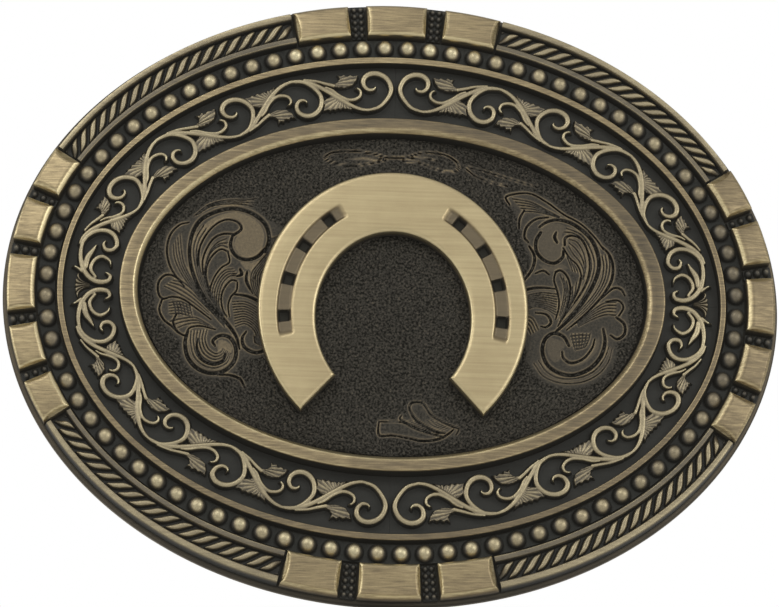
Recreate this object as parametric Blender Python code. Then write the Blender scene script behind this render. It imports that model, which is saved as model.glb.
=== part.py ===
"""Oval Western dress buckle: a brass plate with soldered-on ornament, a belt bail and a belt hook.

Frame: metres, +X along the belt, +Z up, and the face looks towards -Y.
The origin is the middle of the oval, on the flat seat of the base plate's back, where the belt lies.
Heights of the ornament are counted from the front face of the base plate, away from the belt.
"""
import math

import bmesh
import bpy
import numpy as np

MM = 0.001

# Clearance left wherever two soldered pieces meet, and so the underside of all the front ornament
GAP = 0.3 * MM

# Ovals, as (half width, half height), from the edge of the plate inwards
PLATE = (49.5 * MM, 40.5 * MM)
RIM_OUTER = (49.1 * MM, 40.1 * MM)
RIM_INNER = (45.4 * MM, 35.5 * MM)
BEAD_OUTER = (45.1 * MM, 35.2 * MM)
BEAD_INNER = (42.9 * MM, 32.75 * MM)
NARROW_OUTER = (42.6 * MM, 32.45 * MM)
NARROW_INNER = (41.85 * MM, 31.6 * MM)
WIDE_OUTER = (34.75 * MM, 23.7 * MM)
WIDE_INNER = (32.4 * MM, 21.7 * MM)
PANEL = (32.1 * MM, 21.4 * MM)

# Base plate; its thickness includes the low oval seat in the middle of its back
PLATE_THICKNESS = 1.6 * MM
PLATE_CHAMFER = 0.35 * MM
SEAT = (9.5 * MM, 19.0 * MM)
SEAT_HEIGHT = 0.2 * MM

# Heights of the front ornament
BLOCK_HEIGHT_OUTER = 2.1 * MM
BLOCK_HEIGHT_INNER = 2.5 * MM
BLOCK_CHAMFER = 0.4 * MM
CHANNEL_FLOOR_HEIGHT = 0.6 * MM
CHANNEL_RAIL_HEIGHT = 1.9 * MM
ROPE_MIDDLE_HEIGHT = 1.45 * MM
STRIP_FLOOR_HEIGHT = 0.8 * MM
BORDER_FLOOR_HEIGHT = 0.8 * MM
BEAD_TOP_HEIGHT = 1.9 * MM
NARROW_RING_HEIGHT = 2.0 * MM
WIDE_RING_HEIGHT = 2.7 * MM
PANEL_HEIGHT = 1.2 * MM
EMBLEM_BASE_HEIGHT = 1.5 * MM
EMBLEM_TOP_HEIGHT = 3.0 * MM
SCROLL_HEIGHT = 1.5 * MM

# Blocks of the rim, as (start, end) degrees on one side of the group's axis
END_GROUP_BLOCKS = ((0.0, 5.5), (8.5, 16.8), (19.3, 27.3))
TOP_GROUP_BLOCKS = ((0.0, 4.7), (7.5, 16.2))

# Rope channel: share of the rim's width taken by each rail
OUTER_RAIL_SHARE = 0.26
INNER_RAIL_SHARE = 0.20
ROPE_TURNS = 4.5
ROPE_HALF_WIDTH = 0.9 * MM
ROPE_HALF_THICKNESS = 0.55 * MM

# Beads
BORDER_BEADS = 84
STRIP_BEAD_TOP_HEIGHT = 1.5 * MM

# Scroll band
STEM_WIDTH = 0.5 * MM
STEM_SWING = 0.66
STEM_FIRST_TROUGH = 0.073
STEM_HALF_WAVE = 0.167
STEM_OVERRUN = 0.025
SCROLL_COUNT = 6

# Horseshoe emblem
SHOE_HALF_WIDTH = 17.2 * MM
SHOE_HALF_HEIGHT = 18.5 * MM
SHOE_CENTRE_Z = -2.3 * MM
SHOE_HEEL_DEGREES = 138.0
SHOE_TOE_WEB = 8.2 * MM
SHOE_HEEL_WEB = 6.4 * MM
NAIL_HOLE_SIZE = 1.3 * MM
NAIL_HOLE_DEGREES = (38.0, 57.0, 76.0, 95.0)

# Bail: a closed wire loop that turns in a rolled bracket behind the plate
WIRE_RADIUS = 1.5 * MM
BELT_CLEAR_HEIGHT = 40.0 * MM
BAIL_PIVOT_X = 19.0 * MM
BAIL_REACH = 18.0 * MM
BAIL_CORNER_RADIUS = 3.4 * MM
KNUCKLE_WALL = 0.8 * MM
BRACKET_LENGTH = 34.0 * MM
BRACKET_FLANGE_REACH = 8.0 * MM
FLANGE_PAD_LENGTH = 4.9 * MM
FLANGE_PAD_STEP = 0.1 * MM
HARDWARE_FOOT = GAP - SEAT_HEIGHT
KNUCKLE_END_DEGREES = 212.0
KNUCKLE_BORE_RADIUS = WIRE_RADIUS + GAP
KNUCKLE_RADIUS = KNUCKLE_BORE_RADIUS + KNUCKLE_WALL
BAIL_PIVOT_Y = HARDWARE_FOOT + KNUCKLE_RADIUS

# Hook: a bent stud on a round pad
HOOK_X = -36.5 * MM
HOOK_PAD_RADIUS = 4.5 * MM
HOOK_PAD_THICKNESS = 1.2 * MM
HOOK_BEND_RADIUS = 8.0 * MM
HOOK_BEND_DEGREES = 50.0
HOOK_RADIUS = 1.75 * MM

RING_SEGMENTS = 72

# Looks: colour, roughness
BRUSHED_BRASS = ((0.40, 0.32, 0.17, 1.0), 0.35)
AGED_BRASS = ((0.22, 0.18, 0.11, 1.0), 0.5)
DARK_PATINA = ((0.035, 0.032, 0.028, 1.0), 0.6)
HARDWARE_BRASS = ((0.45, 0.34, 0.16, 1.0), 0.3)


def clear_scene():
    """Remove whatever the file opened with."""
    for item in list(bpy.data.objects):
        bpy.data.objects.remove(item, do_unlink=True)


def front(height):
    """Y coordinate of a height above the plate's front face."""
    return -(PLATE_THICKNESS + height)


def oval_point(oval, angle, height):
    """Point at an oval's angle and a height in front of the plate."""
    return (oval[0] * math.cos(angle), front(height), oval[1] * math.sin(angle))


def mix(first, second, share):
    """Oval that lies a share of the way from the first to the second."""
    return tuple(a + (b - a) * share for a, b in zip(first, second))


def speed(oval, angle):
    """Distance moved along an oval per radian of its angle."""
    return np.hypot(oval[0] * np.sin(angle), oval[1] * np.cos(angle))


def angle_at_share(oval, share):
    """Oval angle at a share of the way round, measured along the oval from angle zero."""
    angles = np.linspace(0.0, 2.0 * math.pi, 1441)
    middles = (angles[:-1] + angles[1:]) / 2.0
    travelled = np.concatenate(([0.0], np.cumsum(speed(oval, middles))))
    return float(np.interp(share % 1.0, travelled / travelled[-1], angles))


def finish(name, look):
    """Material of one piece."""
    colour, roughness = look
    material = bpy.data.materials.new(name + "_finish")
    material.use_nodes = True
    shader = material.node_tree.nodes["Principled BSDF"]
    shader.inputs["Base Color"].default_value = colour
    shader.inputs["Roughness"].default_value = roughness
    shader.inputs["Metallic"].default_value = 1.0
    return material


def add_piece(name, points, faces, look):
    """One closed piece from points and faces, with every face turned outwards."""
    mesh = bpy.data.meshes.new(name)
    mesh.from_pydata(points, [], faces)
    work = bmesh.new()
    work.from_mesh(mesh)
    bmesh.ops.recalc_face_normals(work, faces=work.faces)
    work.to_mesh(mesh)
    work.free()
    mesh.shade_smooth()
    mesh.set_sharp_from_angle(angle=math.radians(35.0))
    mesh.materials.append(finish(name, look))
    piece = bpy.data.objects.new(name, mesh)
    bpy.context.collection.objects.link(piece)
    return piece


def sweep(name, sections, closed, look):
    """Piece skinned over a row of sections; an open row is capped at both ends."""
    size = len(sections[0])
    count = len(sections)
    points = [point for section in sections for point in section]
    faces = []
    for i in range(count if closed else count - 1):
        here = i * size
        there = (i + 1) % count * size
        for k in range(size):
            following = (k + 1) % size
            faces.append((here + k, here + following, there + following, there + k))
    if not closed:
        faces.append(tuple(range(size)))
        faces.append(tuple(range((count - 1) * size, count * size)))
    return add_piece(name, points, faces, look)


def join_into_one(base, others):
    """Unite overlapping pieces into the base piece and remove the others."""
    for other in others:
        union = base.modifiers.new("union", "BOOLEAN")
        union.operation = "UNION"
        union.object = other
    apply_modifiers(base)
    for other in others:
        bpy.data.objects.remove(other, do_unlink=True)


def apply_modifiers(piece):
    """Give a piece the mesh that its modifiers make, and drop them."""
    bpy.context.view_layer.update()
    depsgraph = bpy.context.evaluated_depsgraph_get()
    mesh = bpy.data.meshes.new_from_object(piece.evaluated_get(depsgraph))
    piece.modifiers.clear()
    piece.data = mesh


def mirrored_copy(source, name, side_x, side_z, look):
    """Copy of a piece turned over to another quarter of the oval."""
    points = [(v.co.x * side_x, v.co.y, v.co.z * side_z) for v in source.data.vertices]
    faces = [tuple(face.vertices) for face in source.data.polygons]
    return add_piece(name, points, faces, look)


# ---- Base plate and rings ----

def add_base_plate():
    """Oval backing plate with chamfered edges and a low seat for the belt."""
    inset = (PLATE[0] - PLATE_CHAMFER, PLATE[1] - PLATE_CHAMFER)
    back = SEAT_HEIGHT - PLATE_THICKNESS
    rows = (
        (inset, 0.0),
        (PLATE, -PLATE_CHAMFER),
        (PLATE, back + PLATE_CHAMFER),
        (inset, back),
        (SEAT, back),
        (SEAT, -PLATE_THICKNESS),
    )
    sections = [ring_row(oval, height) for oval, height in rows]
    sweep("base_plate", sections, False, BRUSHED_BRASS)


def ring_row(oval, height):
    """Points all the way round an oval at one height."""
    step = 2.0 * math.pi / RING_SEGMENTS
    return [oval_point(oval, i * step, height) for i in range(RING_SEGMENTS)]


def add_ring(name, profile, look):
    """Closed ring with the given profile of (oval, height) points."""
    sweep_rows = [ring_row(oval, height) for oval, height in profile]
    sweep(name, sweep_rows, True, look)


def add_narrow_ring():
    """Plain bright ring between the beads and the scrolls."""
    profile = (
        (NARROW_OUTER, GAP),
        (NARROW_OUTER, NARROW_RING_HEIGHT),
        (NARROW_INNER, NARROW_RING_HEIGHT),
        (NARROW_INNER, GAP),
    )
    add_ring("narrow_ring", profile, BRUSHED_BRASS)


def add_wide_ring():
    """Brushed ring round the middle panel, with a sloping inner edge."""
    bevel = 0.55 * MM
    bevel_top = (WIDE_INNER[0] + bevel, WIDE_INNER[1] + bevel)
    profile = (
        (WIDE_OUTER, GAP),
        (WIDE_OUTER, WIDE_RING_HEIGHT),
        (bevel_top, WIDE_RING_HEIGHT),
        (WIDE_INNER, WIDE_RING_HEIGHT - bevel),
        (WIDE_INNER, GAP),
    )
    add_ring("wide_ring", profile, BRUSHED_BRASS)


def add_centre_panel():
    """Sunk oval panel that carries the emblem."""
    sections = [ring_row(PANEL, PANEL_HEIGHT), ring_row(PANEL, GAP)]
    sweep("centre_panel", sections, False, DARK_PATINA)


# ---- Blocks, bead strips and ropes of the rim ----

def gap_angle(angle):
    """Oval angle that leaves one gap at the inner edge of the rim, where it is tightest."""
    return GAP / float(speed(RIM_INNER, angle))


def add_block(name, start, end):
    """Pillow-topped block of the rim between two oval angles."""
    width = RIM_OUTER[0] - RIM_INNER[0]
    edge = BLOCK_CHAMFER / width
    end_chamfer = BLOCK_CHAMFER / float(speed(RIM_INNER, start))
    sections = []
    for angle, drop in (
        (start, BLOCK_CHAMFER),
        (start + end_chamfer, 0.0),
        (end - end_chamfer, 0.0),
        (end, BLOCK_CHAMFER),
    ):
        sections.append([
            oval_point(RIM_OUTER, angle, GAP),
            oval_point(RIM_OUTER, angle, BLOCK_HEIGHT_OUTER - BLOCK_CHAMFER),
            oval_point(mix(RIM_OUTER, RIM_INNER, edge), angle, BLOCK_HEIGHT_OUTER - drop),
            oval_point(mix(RIM_OUTER, RIM_INNER, 1.0 - edge), angle, BLOCK_HEIGHT_INNER - drop),
            oval_point(RIM_INNER, angle, BLOCK_HEIGHT_INNER - BLOCK_CHAMFER),
            oval_point(RIM_INNER, angle, GAP),
        ])
    sweep(name, sections, False, BRUSHED_BRASS)


def group_spans(blocks):
    """(start, end) degrees of every block of a group, from one end of the group to the other."""
    half = [(start, end) for start, end in blocks if start > 0.0]
    centre = [(-blocks[0][1], blocks[0][1])]
    return [(-end, -start) for start, end in reversed(half)] + centre + half


def add_rim_group(group, axis_degrees, blocks, columns, rows):
    """Blocks on one side of the rim, with a strip of small beads in each space between them."""
    spans = group_spans(blocks)
    for number, (start, end) in enumerate(spans, 1):
        first = math.radians(axis_degrees + start)
        last = math.radians(axis_degrees + end)
        add_block(f"block_{group}_{number}", first, last)
    for number in range(1, len(spans)):
        first = math.radians(axis_degrees + spans[number - 1][1])
        last = math.radians(axis_degrees + spans[number][0])
        first += gap_angle(first)
        last -= gap_angle(last)
        angles = [first + (last - first) * i / columns for i in range(columns + 1)]
        add_bead_strip(f"bead_strip_{group}_{number}", angles, rows)


def add_bead_strip(name, angles, rows):
    """Strip of the rim between two blocks, with a small pointed bead in each of its cells."""
    lines = len(angles)
    points = band_points(angles, rows, RIM_OUTER, RIM_INNER, STRIP_FLOOR_HEIGHT)
    under = lines * (rows + 1)
    faces = []
    for i in range(lines - 1):
        middle = (angles[i] + angles[i + 1]) / 2.0
        for row in range(rows):
            oval = mix(RIM_OUTER, RIM_INNER, (row + 0.5) / rows)
            corners = cell_corners(i, i + 1, row, rows)
            add_bead(points, faces, corners, oval_point(oval, middle, STRIP_BEAD_TOP_HEIGHT))
        faces += band_sides(i, i + 1, rows, under)
    for line in (0, lines - 1):
        corner = under + 2 * line
        first = line * (rows + 1)
        for row in range(rows):
            faces.append((first + row, first + row + 1, corner))
        faces.append((first + rows, corner + 1, corner))
    add_piece(name, points, faces, AGED_BRASS)


def add_bead_border():
    """Ring of pointed beads just inside the rim."""
    middle = mix(BEAD_OUTER, BEAD_INNER, 0.5)
    angles = [angle_at_share(middle, 0.25 + i / BORDER_BEADS) for i in range(BORDER_BEADS)]
    points = band_points(angles, 1, BEAD_OUTER, BEAD_INNER, BORDER_FLOOR_HEIGHT)
    under = 2 * BORDER_BEADS
    faces = []
    for i in range(BORDER_BEADS):
        j = (i + 1) % BORDER_BEADS
        turn = (angles[j] - angles[i]) % (2.0 * math.pi)
        apex = oval_point(middle, angles[i] + turn / 2.0, BEAD_TOP_HEIGHT)
        add_bead(points, faces, cell_corners(i, j, 0, 1), apex)
        faces += band_sides(i, j, 1, under)
    add_piece("bead_border", points, faces, AGED_BRASS)


def band_points(angles, rows, outer, inner, floor):
    """Floor points of a band, line by line, and then two underside points for each line."""
    points = []
    for angle in angles:
        for row in range(rows + 1):
            points.append(oval_point(mix(outer, inner, row / rows), angle, floor))
    for angle in angles:
        points.append(oval_point(outer, angle, GAP))
        points.append(oval_point(inner, angle, GAP))
    return points


def cell_corners(i, j, row, rows):
    """Floor points round the cell between lines i and j in one row of a band."""
    here = i * (rows + 1) + row
    there = j * (rows + 1) + row
    return (here, there, there + 1, here + 1)


def band_sides(i, j, rows, under):
    """Outer wall, inner wall and underside of the column between lines i and j of a band."""
    here = i * (rows + 1)
    there = j * (rows + 1)
    low_here = under + 2 * i
    low_there = under + 2 * j
    return [
        (here, there, low_there, low_here),
        (here + rows, there + rows, low_there + 1, low_here + 1),
        (low_here, low_there, low_there + 1, low_here + 1),
    ]


def add_bead(points, faces, corners, apex):
    """Bead with four sides that rise from the corners of its cell to its apex."""
    points.append(apex)
    for k in range(4):
        faces.append((corners[k], corners[(k + 1) % 4], len(points) - 1))


def add_rope_channel(name, start, end):
    """Tray with an outer and an inner rail that holds one length of rope."""
    profile = (
        (0.0, GAP),
        (0.0, CHANNEL_RAIL_HEIGHT),
        (OUTER_RAIL_SHARE, CHANNEL_RAIL_HEIGHT),
        (OUTER_RAIL_SHARE, CHANNEL_FLOOR_HEIGHT),
        (1.0 - INNER_RAIL_SHARE, CHANNEL_FLOOR_HEIGHT),
        (1.0 - INNER_RAIL_SHARE, CHANNEL_RAIL_HEIGHT),
        (1.0, CHANNEL_RAIL_HEIGHT),
        (1.0, GAP),
    )
    steps = 12
    sections = []
    for i in range(steps + 1):
        angle = start + (end - start) * i / steps
        sections.append([
            oval_point(mix(RIM_OUTER, RIM_INNER, share), angle, height) for share, height in profile
        ])
    sweep(name, sections, False, BRUSHED_BRASS)


def add_rope(name, start, end):
    """Flattened twisted square wire that lies in the channel."""
    oval = mix(RIM_OUTER, RIM_INNER, (1.0 + OUTER_RAIL_SHARE - INNER_RAIL_SHARE) / 2.0)
    steps = 36
    sections = []
    for i in range(steps + 1):
        share = i / steps
        angle = start + (end - start) * share
        x, _, z = oval_point(oval, angle, 0.0)
        outward = math.atan2(oval[0] * math.sin(angle), oval[1] * math.cos(angle))
        twist = 2.0 * math.pi * ROPE_TURNS * share
        section = []
        for corner in range(4):
            turn = twist + corner * math.pi / 2.0
            across = ROPE_HALF_WIDTH * math.cos(turn)
            height = ROPE_MIDDLE_HEIGHT + ROPE_HALF_THICKNESS * math.sin(turn)
            section.append((
                x + across * math.cos(outward), front(height), z + across * math.sin(outward),
            ))
        sections.append(section)
    sweep(name, sections, False, AGED_BRASS)


def add_ropes():
    """Rope and channel in each of the four gaps between the groups of blocks."""
    low = END_GROUP_BLOCKS[-1][1]
    high = 90.0 - TOP_GROUP_BLOCKS[-1][1]
    quarters = (
        ("upper_right", low, high),
        ("upper_left", 180.0 - high, 180.0 - low),
        ("lower_left", 180.0 + low, 180.0 + high),
        ("lower_right", 360.0 - high, 360.0 - low),
    )
    for quarter, start, end in quarters:
        first = math.radians(start)
        last = math.radians(end)
        first += gap_angle(first)
        last -= gap_angle(last)
        add_rope_channel("rope_channel_" + quarter, first, last)
        add_rope("rope_" + quarter, first + gap_angle(first), last - gap_angle(last))


# ---- Scroll band ----

def band_point(along, across, height):
    """Point of the scroll band in the upper right quarter.

    along runs from 0 at the top of the oval to 1 at its right end;
    across runs from -1 at the wide ring to 1 at the narrow ring.
    """
    middle = mix(WIDE_OUTER, NARROW_INNER, 0.5)
    angle = angle_at_share(middle, 0.25 * (1.0 - along))
    return oval_point(mix(WIDE_OUTER, NARROW_INNER, (1.0 + across) / 2.0), angle, height)


def band_size():
    """Length of a quarter of the scroll band, and half of its width."""
    middle = mix(WIDE_OUTER, NARROW_INNER, 0.5)
    angles = np.linspace(0.0, math.pi / 2.0, 181)
    length = float(np.mean(speed(middle, angles)) * math.pi / 2.0)
    half_width = (NARROW_INNER[0] - WIDE_OUTER[0] + NARROW_INNER[1] - WIDE_OUTER[1]) / 4.0
    return length, half_width


def add_ribbon(name, path, widths, low, high):
    """Flat ribbon that follows a path of (along, across) points of the scroll band."""
    length, half_width = band_size()
    flat = [(along * length, across * half_width) for along, across in path]
    sections = []
    for i, (s, w) in enumerate(flat):
        before = flat[max(i - 1, 0)]
        after = flat[min(i + 1, len(flat) - 1)]
        run = (after[0] - before[0], after[1] - before[1])
        size = math.hypot(run[0], run[1])
        normal = (-run[1] / size, run[0] / size)
        section = []
        for side, height in ((1.0, low), (1.0, high), (-1.0, high), (-1.0, low)):
            reach = side * widths[i] / 2.0
            along = (s + normal[0] * reach) / length
            across = (w + normal[1] * reach) / half_width
            section.append(band_point(along, across, height))
        sections.append(section)
    return sweep(name, sections, False, BRUSHED_BRASS)


def stem_across(along):
    """Height of the waving stem across the band."""
    phase = math.pi * (along - STEM_FIRST_TROUGH) / STEM_HALF_WAVE
    return -STEM_SWING * math.cos(phase)


def spiral_path(along, side):
    """Curl that hangs from the stem's crest or trough and winds back to its own middle."""
    length, half_width = band_size()
    centre_s = -0.95 * MM
    centre_w = -1.0 * MM
    steps = 9
    path = []
    for i in range(steps + 1):
        share = i / steps
        turn = math.radians(70.0 + 380.0 * share)
        radius = (3.6 - 2.6 * share ** 0.55) * MM
        s = centre_s + radius * math.cos(turn)
        w = centre_w + radius * math.sin(turn)
        path.append((along + s / length, side * w / half_width))
    return path


def add_fan_leaf(name, along, side, low, high):
    """Blunt leaf on the side of the stem just after a crest or trough."""
    length, _ = band_size()
    corners = (
        (1.9, 0.50), (2.4, 0.62), (5.9, 0.58), (5.4, 0.10), (4.2, -0.10),
    )
    outline = [(along + s * MM / length, side * across) for s, across in corners]
    sections = []
    for height in (low, high):
        sections.append([band_point(s, across, height) for s, across in outline])
    return sweep(name, sections, False, BRUSHED_BRASS)


def add_scrolls():
    """Waving stem with curls and leaves, one piece in each quarter of the oval."""
    steps = 30
    last_crest = STEM_FIRST_TROUGH + (SCROLL_COUNT - 1) * STEM_HALF_WAVE
    path = []
    for i in range(steps + 1):
        along = STEM_FIRST_TROUGH + (last_crest + STEM_OVERRUN - STEM_FIRST_TROUGH) * i / steps
        path.append((along, stem_across(along)))
    stem = add_ribbon("scroll_upper_right", path, [STEM_WIDTH] * len(path), GAP, SCROLL_HEIGHT)
    extras = []
    for number in range(SCROLL_COUNT):
        along = STEM_FIRST_TROUGH + number * STEM_HALF_WAVE
        side = 1.0 if number % 2 else -1.0
        curl = spiral_path(along, side)
        low = GAP + 0.02 * MM
        high = SCROLL_HEIGHT - 0.05 * MM
        extras.append(add_ribbon(f"curl_{number}", curl, [STEM_WIDTH] * len(curl), low, high))
        if number < SCROLL_COUNT - 1:
            extras.append(add_fan_leaf(f"leaf_{number}", along, side, low + 0.02 * MM, high - 0.1 * MM))
    join_into_one(stem, extras)
    mirrored_copy(stem, "scroll_upper_left", -1.0, 1.0, BRUSHED_BRASS)
    mirrored_copy(stem, "scroll_lower_left", -1.0, -1.0, BRUSHED_BRASS)
    mirrored_copy(stem, "scroll_lower_right", 1.0, -1.0, BRUSHED_BRASS)


def add_palmette(name, side):
    """Small fan of petals where two scrolls meet at an end of the oval."""
    root_x = NARROW_INNER[0] - 3.6 * MM
    petals = (-50.0, -25.0, 0.0, 25.0, 50.0)
    tip_radius = 2.6 * MM
    notch_radius = 1.9 * MM
    outline = [(root_x, -0.35 * MM)]
    for i, degrees in enumerate(petals):
        turn = math.radians(degrees)
        outline.append((root_x + tip_radius * math.cos(turn), tip_radius * math.sin(turn)))
        if i < len(petals) - 1:
            turn = math.radians(degrees + 12.5)
            outline.append((root_x + notch_radius * math.cos(turn), notch_radius * math.sin(turn)))
    outline.append((root_x, 0.35 * MM))
    sections = [
        [(side * x, front(height), z) for x, z in outline] for height in (GAP, SCROLL_HEIGHT)
    ]
    sweep(name, sections, False, BRUSHED_BRASS)


# ---- Emblem ----

def shoe_point(degrees, inset, height):
    """Point of the horseshoe; degrees count from the toe, inset inwards from its outer edge."""
    turn = math.radians(degrees)
    reach_x = SHOE_HALF_WIDTH - inset
    reach_z = SHOE_HALF_HEIGHT - inset
    return (reach_x * math.sin(turn), front(height), SHOE_CENTRE_Z + reach_z * math.cos(turn))


def shoe_web(degrees):
    """Width of the horseshoe's web, which narrows from the toe to the heels."""
    share = abs(degrees) / SHOE_HEEL_DEGREES
    return SHOE_TOE_WEB + (SHOE_HEEL_WEB - SHOE_TOE_WEB) * share ** 2


def add_emblem():
    """Flat horseshoe with eight square nail holes."""
    steps = 30
    sections = []
    for i in range(steps + 1):
        degrees = SHOE_HEEL_DEGREES * (2.0 * i / steps - 1.0)
        web = shoe_web(degrees)
        sections.append([
            shoe_point(degrees, 0.0, EMBLEM_BASE_HEIGHT),
            shoe_point(degrees, 0.0, EMBLEM_TOP_HEIGHT),
            shoe_point(degrees, web, EMBLEM_TOP_HEIGHT),
            shoe_point(degrees, web, EMBLEM_BASE_HEIGHT),
        ])
    emblem = sweep("emblem", sections, False, BRUSHED_BRASS)
    cutters = []
    for side in (-1.0, 1.0):
        for degrees in NAIL_HOLE_DEGREES:
            cutters.append(add_nail_cutter(side * degrees))
    for cutter in cutters:
        cut = emblem.modifiers.new("nail_hole", "BOOLEAN")
        cut.operation = "DIFFERENCE"
        cut.object = cutter
    apply_modifiers(emblem)
    for cutter in cutters:
        bpy.data.objects.remove(cutter, do_unlink=True)


def add_nail_cutter(degrees):
    """Square bar through the middle of the web."""
    middle = shoe_web(degrees) * 0.45
    half_turn = math.degrees(NAIL_HOLE_SIZE / 2.0 / SHOE_HALF_WIDTH)
    sections = []
    for height in (EMBLEM_BASE_HEIGHT - 1.0 * MM, EMBLEM_TOP_HEIGHT + 1.0 * MM):
        sections.append([
            shoe_point(degrees - half_turn, middle - NAIL_HOLE_SIZE / 2.0, height),
            shoe_point(degrees + half_turn, middle - NAIL_HOLE_SIZE / 2.0, height),
            shoe_point(degrees + half_turn, middle + NAIL_HOLE_SIZE / 2.0, height),
            shoe_point(degrees - half_turn, middle + NAIL_HOLE_SIZE / 2.0, height),
        ])
    return sweep("nail_cutter", sections, False, DARK_PATINA)


# ---- Hardware behind the plate ----

def add_bail_bracket():
    """Brass strip soldered flat to the plate and rolled round the bail's wire.

    Its flange ends in a slightly thicker flat pad that lies clear of the roll.
    """
    steps = 20
    flange_x = BAIL_PIVOT_X - BRACKET_FLANGE_REACH
    pad_end_x = flange_x + FLANGE_PAD_LENGTH
    wall_top = HARDWARE_FOOT + KNUCKLE_WALL
    outline = [(flange_x, HARDWARE_FOOT)]
    turns = [math.radians(-90.0 + (KNUCKLE_END_DEGREES + 90.0) * i / steps) for i in range(steps + 1)]
    for turn in turns:
        outline.append(knuckle_point(KNUCKLE_RADIUS, turn))
    for turn in reversed(turns):
        outline.append(knuckle_point(KNUCKLE_BORE_RADIUS, turn))
    outline.append((pad_end_x + FLANGE_PAD_STEP, wall_top))
    outline.append((pad_end_x, wall_top + FLANGE_PAD_STEP))
    outline.append((flange_x, wall_top + FLANGE_PAD_STEP))
    half = BRACKET_LENGTH / 2.0
    sections = [[(x, y, z) for x, y in outline] for z in (-half, half)]
    sweep("bail_bracket", sections, False, HARDWARE_BRASS)


def knuckle_point(radius, turn):
    """Point of the rolled knuckle, seen along the bail's axis."""
    return (BAIL_PIVOT_X + radius * math.cos(turn), BAIL_PIVOT_Y + radius * math.sin(turn))


def bail_path():
    """Middle line of the wire: a rectangle with round corners, from its pivot bar outwards."""
    half_height = BELT_CLEAR_HEIGHT / 2.0 + WIRE_RADIUS
    radius = BAIL_CORNER_RADIUS
    corners = (
        (BAIL_REACH - radius, half_height - radius, 90.0),
        (radius, half_height - radius, 180.0),
        (radius, radius - half_height, 270.0),
        (BAIL_REACH - radius, radius - half_height, 360.0),
    )
    steps = 5
    path = []
    for x, z, end in corners:
        for i in range(steps + 1):
            turn = math.radians(end - 90.0 + 90.0 * i / steps)
            path.append((x + radius * math.cos(turn), z + radius * math.sin(turn)))
    return path


def add_bail():
    """Closed wire loop for the end of the belt; its origin is on the pivot axis."""
    sides = 12
    path = bail_path()
    count = len(path)
    sections = []
    for i, (x, z) in enumerate(path):
        before = path[i - 1]
        after = path[(i + 1) % count]
        run = math.atan2(after[1] - before[1], after[0] - before[0])
        section = []
        for k in range(sides):
            turn = 2.0 * math.pi * k / sides
            out = WIRE_RADIUS * math.cos(turn)
            y = WIRE_RADIUS * math.sin(turn)
            section.append((x + out * math.sin(run), y, z - out * math.cos(run)))
        sections.append(section)
    bail = sweep("bail", sections, True, HARDWARE_BRASS)
    bail.location = (BAIL_PIVOT_X, BAIL_PIVOT_Y, 0.0)


def add_hook():
    """Bent stud that goes through a hole in the belt, and the pad it stands on."""
    sides = 16
    pad_high = HARDWARE_FOOT + HOOK_PAD_THICKNESS
    pad_sections = []
    for radius, y in (
        (HOOK_PAD_RADIUS, HARDWARE_FOOT),
        (HOOK_PAD_RADIUS, pad_high - 0.3 * MM),
        (HOOK_PAD_RADIUS - 0.3 * MM, pad_high),
    ):
        pad_sections.append(circle_section(HOOK_X, y, 0.0, radius, 2 * sides))
    sweep("hook_pad", pad_sections, False, HARDWARE_BRASS)
    # share of the bend and thickness there: a flared foot, a plain shank and a ball at the tip
    stations = (
        (0.0, 1.45), (0.08, 1.12), (0.2, 1.0), (0.7, 1.0), (0.8, 1.25),
        (0.9, 1.38), (1.0, 1.3), (1.08, 1.0), (1.13, 0.5),
    )
    sections = []
    for share, thickness in stations:
        tilt = math.radians(HOOK_BEND_DEGREES) * share
        x = HOOK_X - HOOK_BEND_RADIUS + HOOK_BEND_RADIUS * math.cos(tilt)
        y = pad_high + GAP + HOOK_BEND_RADIUS * math.sin(tilt)
        sections.append(circle_section(x, y, tilt, HOOK_RADIUS * thickness, sides))
    sweep("hook_stud", sections, False, HARDWARE_BRASS)


def circle_section(x, y, tilt, radius, sides):
    """Circle square to a direction that leans from +Y towards -X by the tilt."""
    section = []
    for k in range(sides):
        turn = 2.0 * math.pi * k / sides
        across = radius * math.cos(turn)
        section.append((
            x + across * math.cos(tilt),
            y + across * math.sin(tilt),
            radius * math.sin(turn),
        ))
    return section


def build():
    """Make every piece of the buckle."""
    clear_scene()
    add_base_plate()
    add_rim_group("right", 0.0, END_GROUP_BLOCKS, 1, 3)
    add_rim_group("top", 90.0, TOP_GROUP_BLOCKS, 2, 5)
    add_rim_group("left", 180.0, END_GROUP_BLOCKS, 1, 3)
    add_rim_group("bottom", 270.0, TOP_GROUP_BLOCKS, 2, 5)
    add_ropes()
    add_bead_border()
    add_narrow_ring()
    add_scrolls()
    add_palmette("palmette_right", 1.0)
    add_palmette("palmette_left", -1.0)
    add_wide_ring()
    add_centre_panel()
    add_emblem()
    add_bail_bracket()
    add_bail()
    add_hook()


build()
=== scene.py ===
"""Looks of the oval Western belt buckle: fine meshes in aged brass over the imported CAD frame.

Metres, +X along the belt, +Z up, face towards -Y. Sizes and places come from the CAD nodes' boxes.
"""
import math

import bmesh
import bpy
import numpy as np
from mathutils import Matrix, Vector


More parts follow.
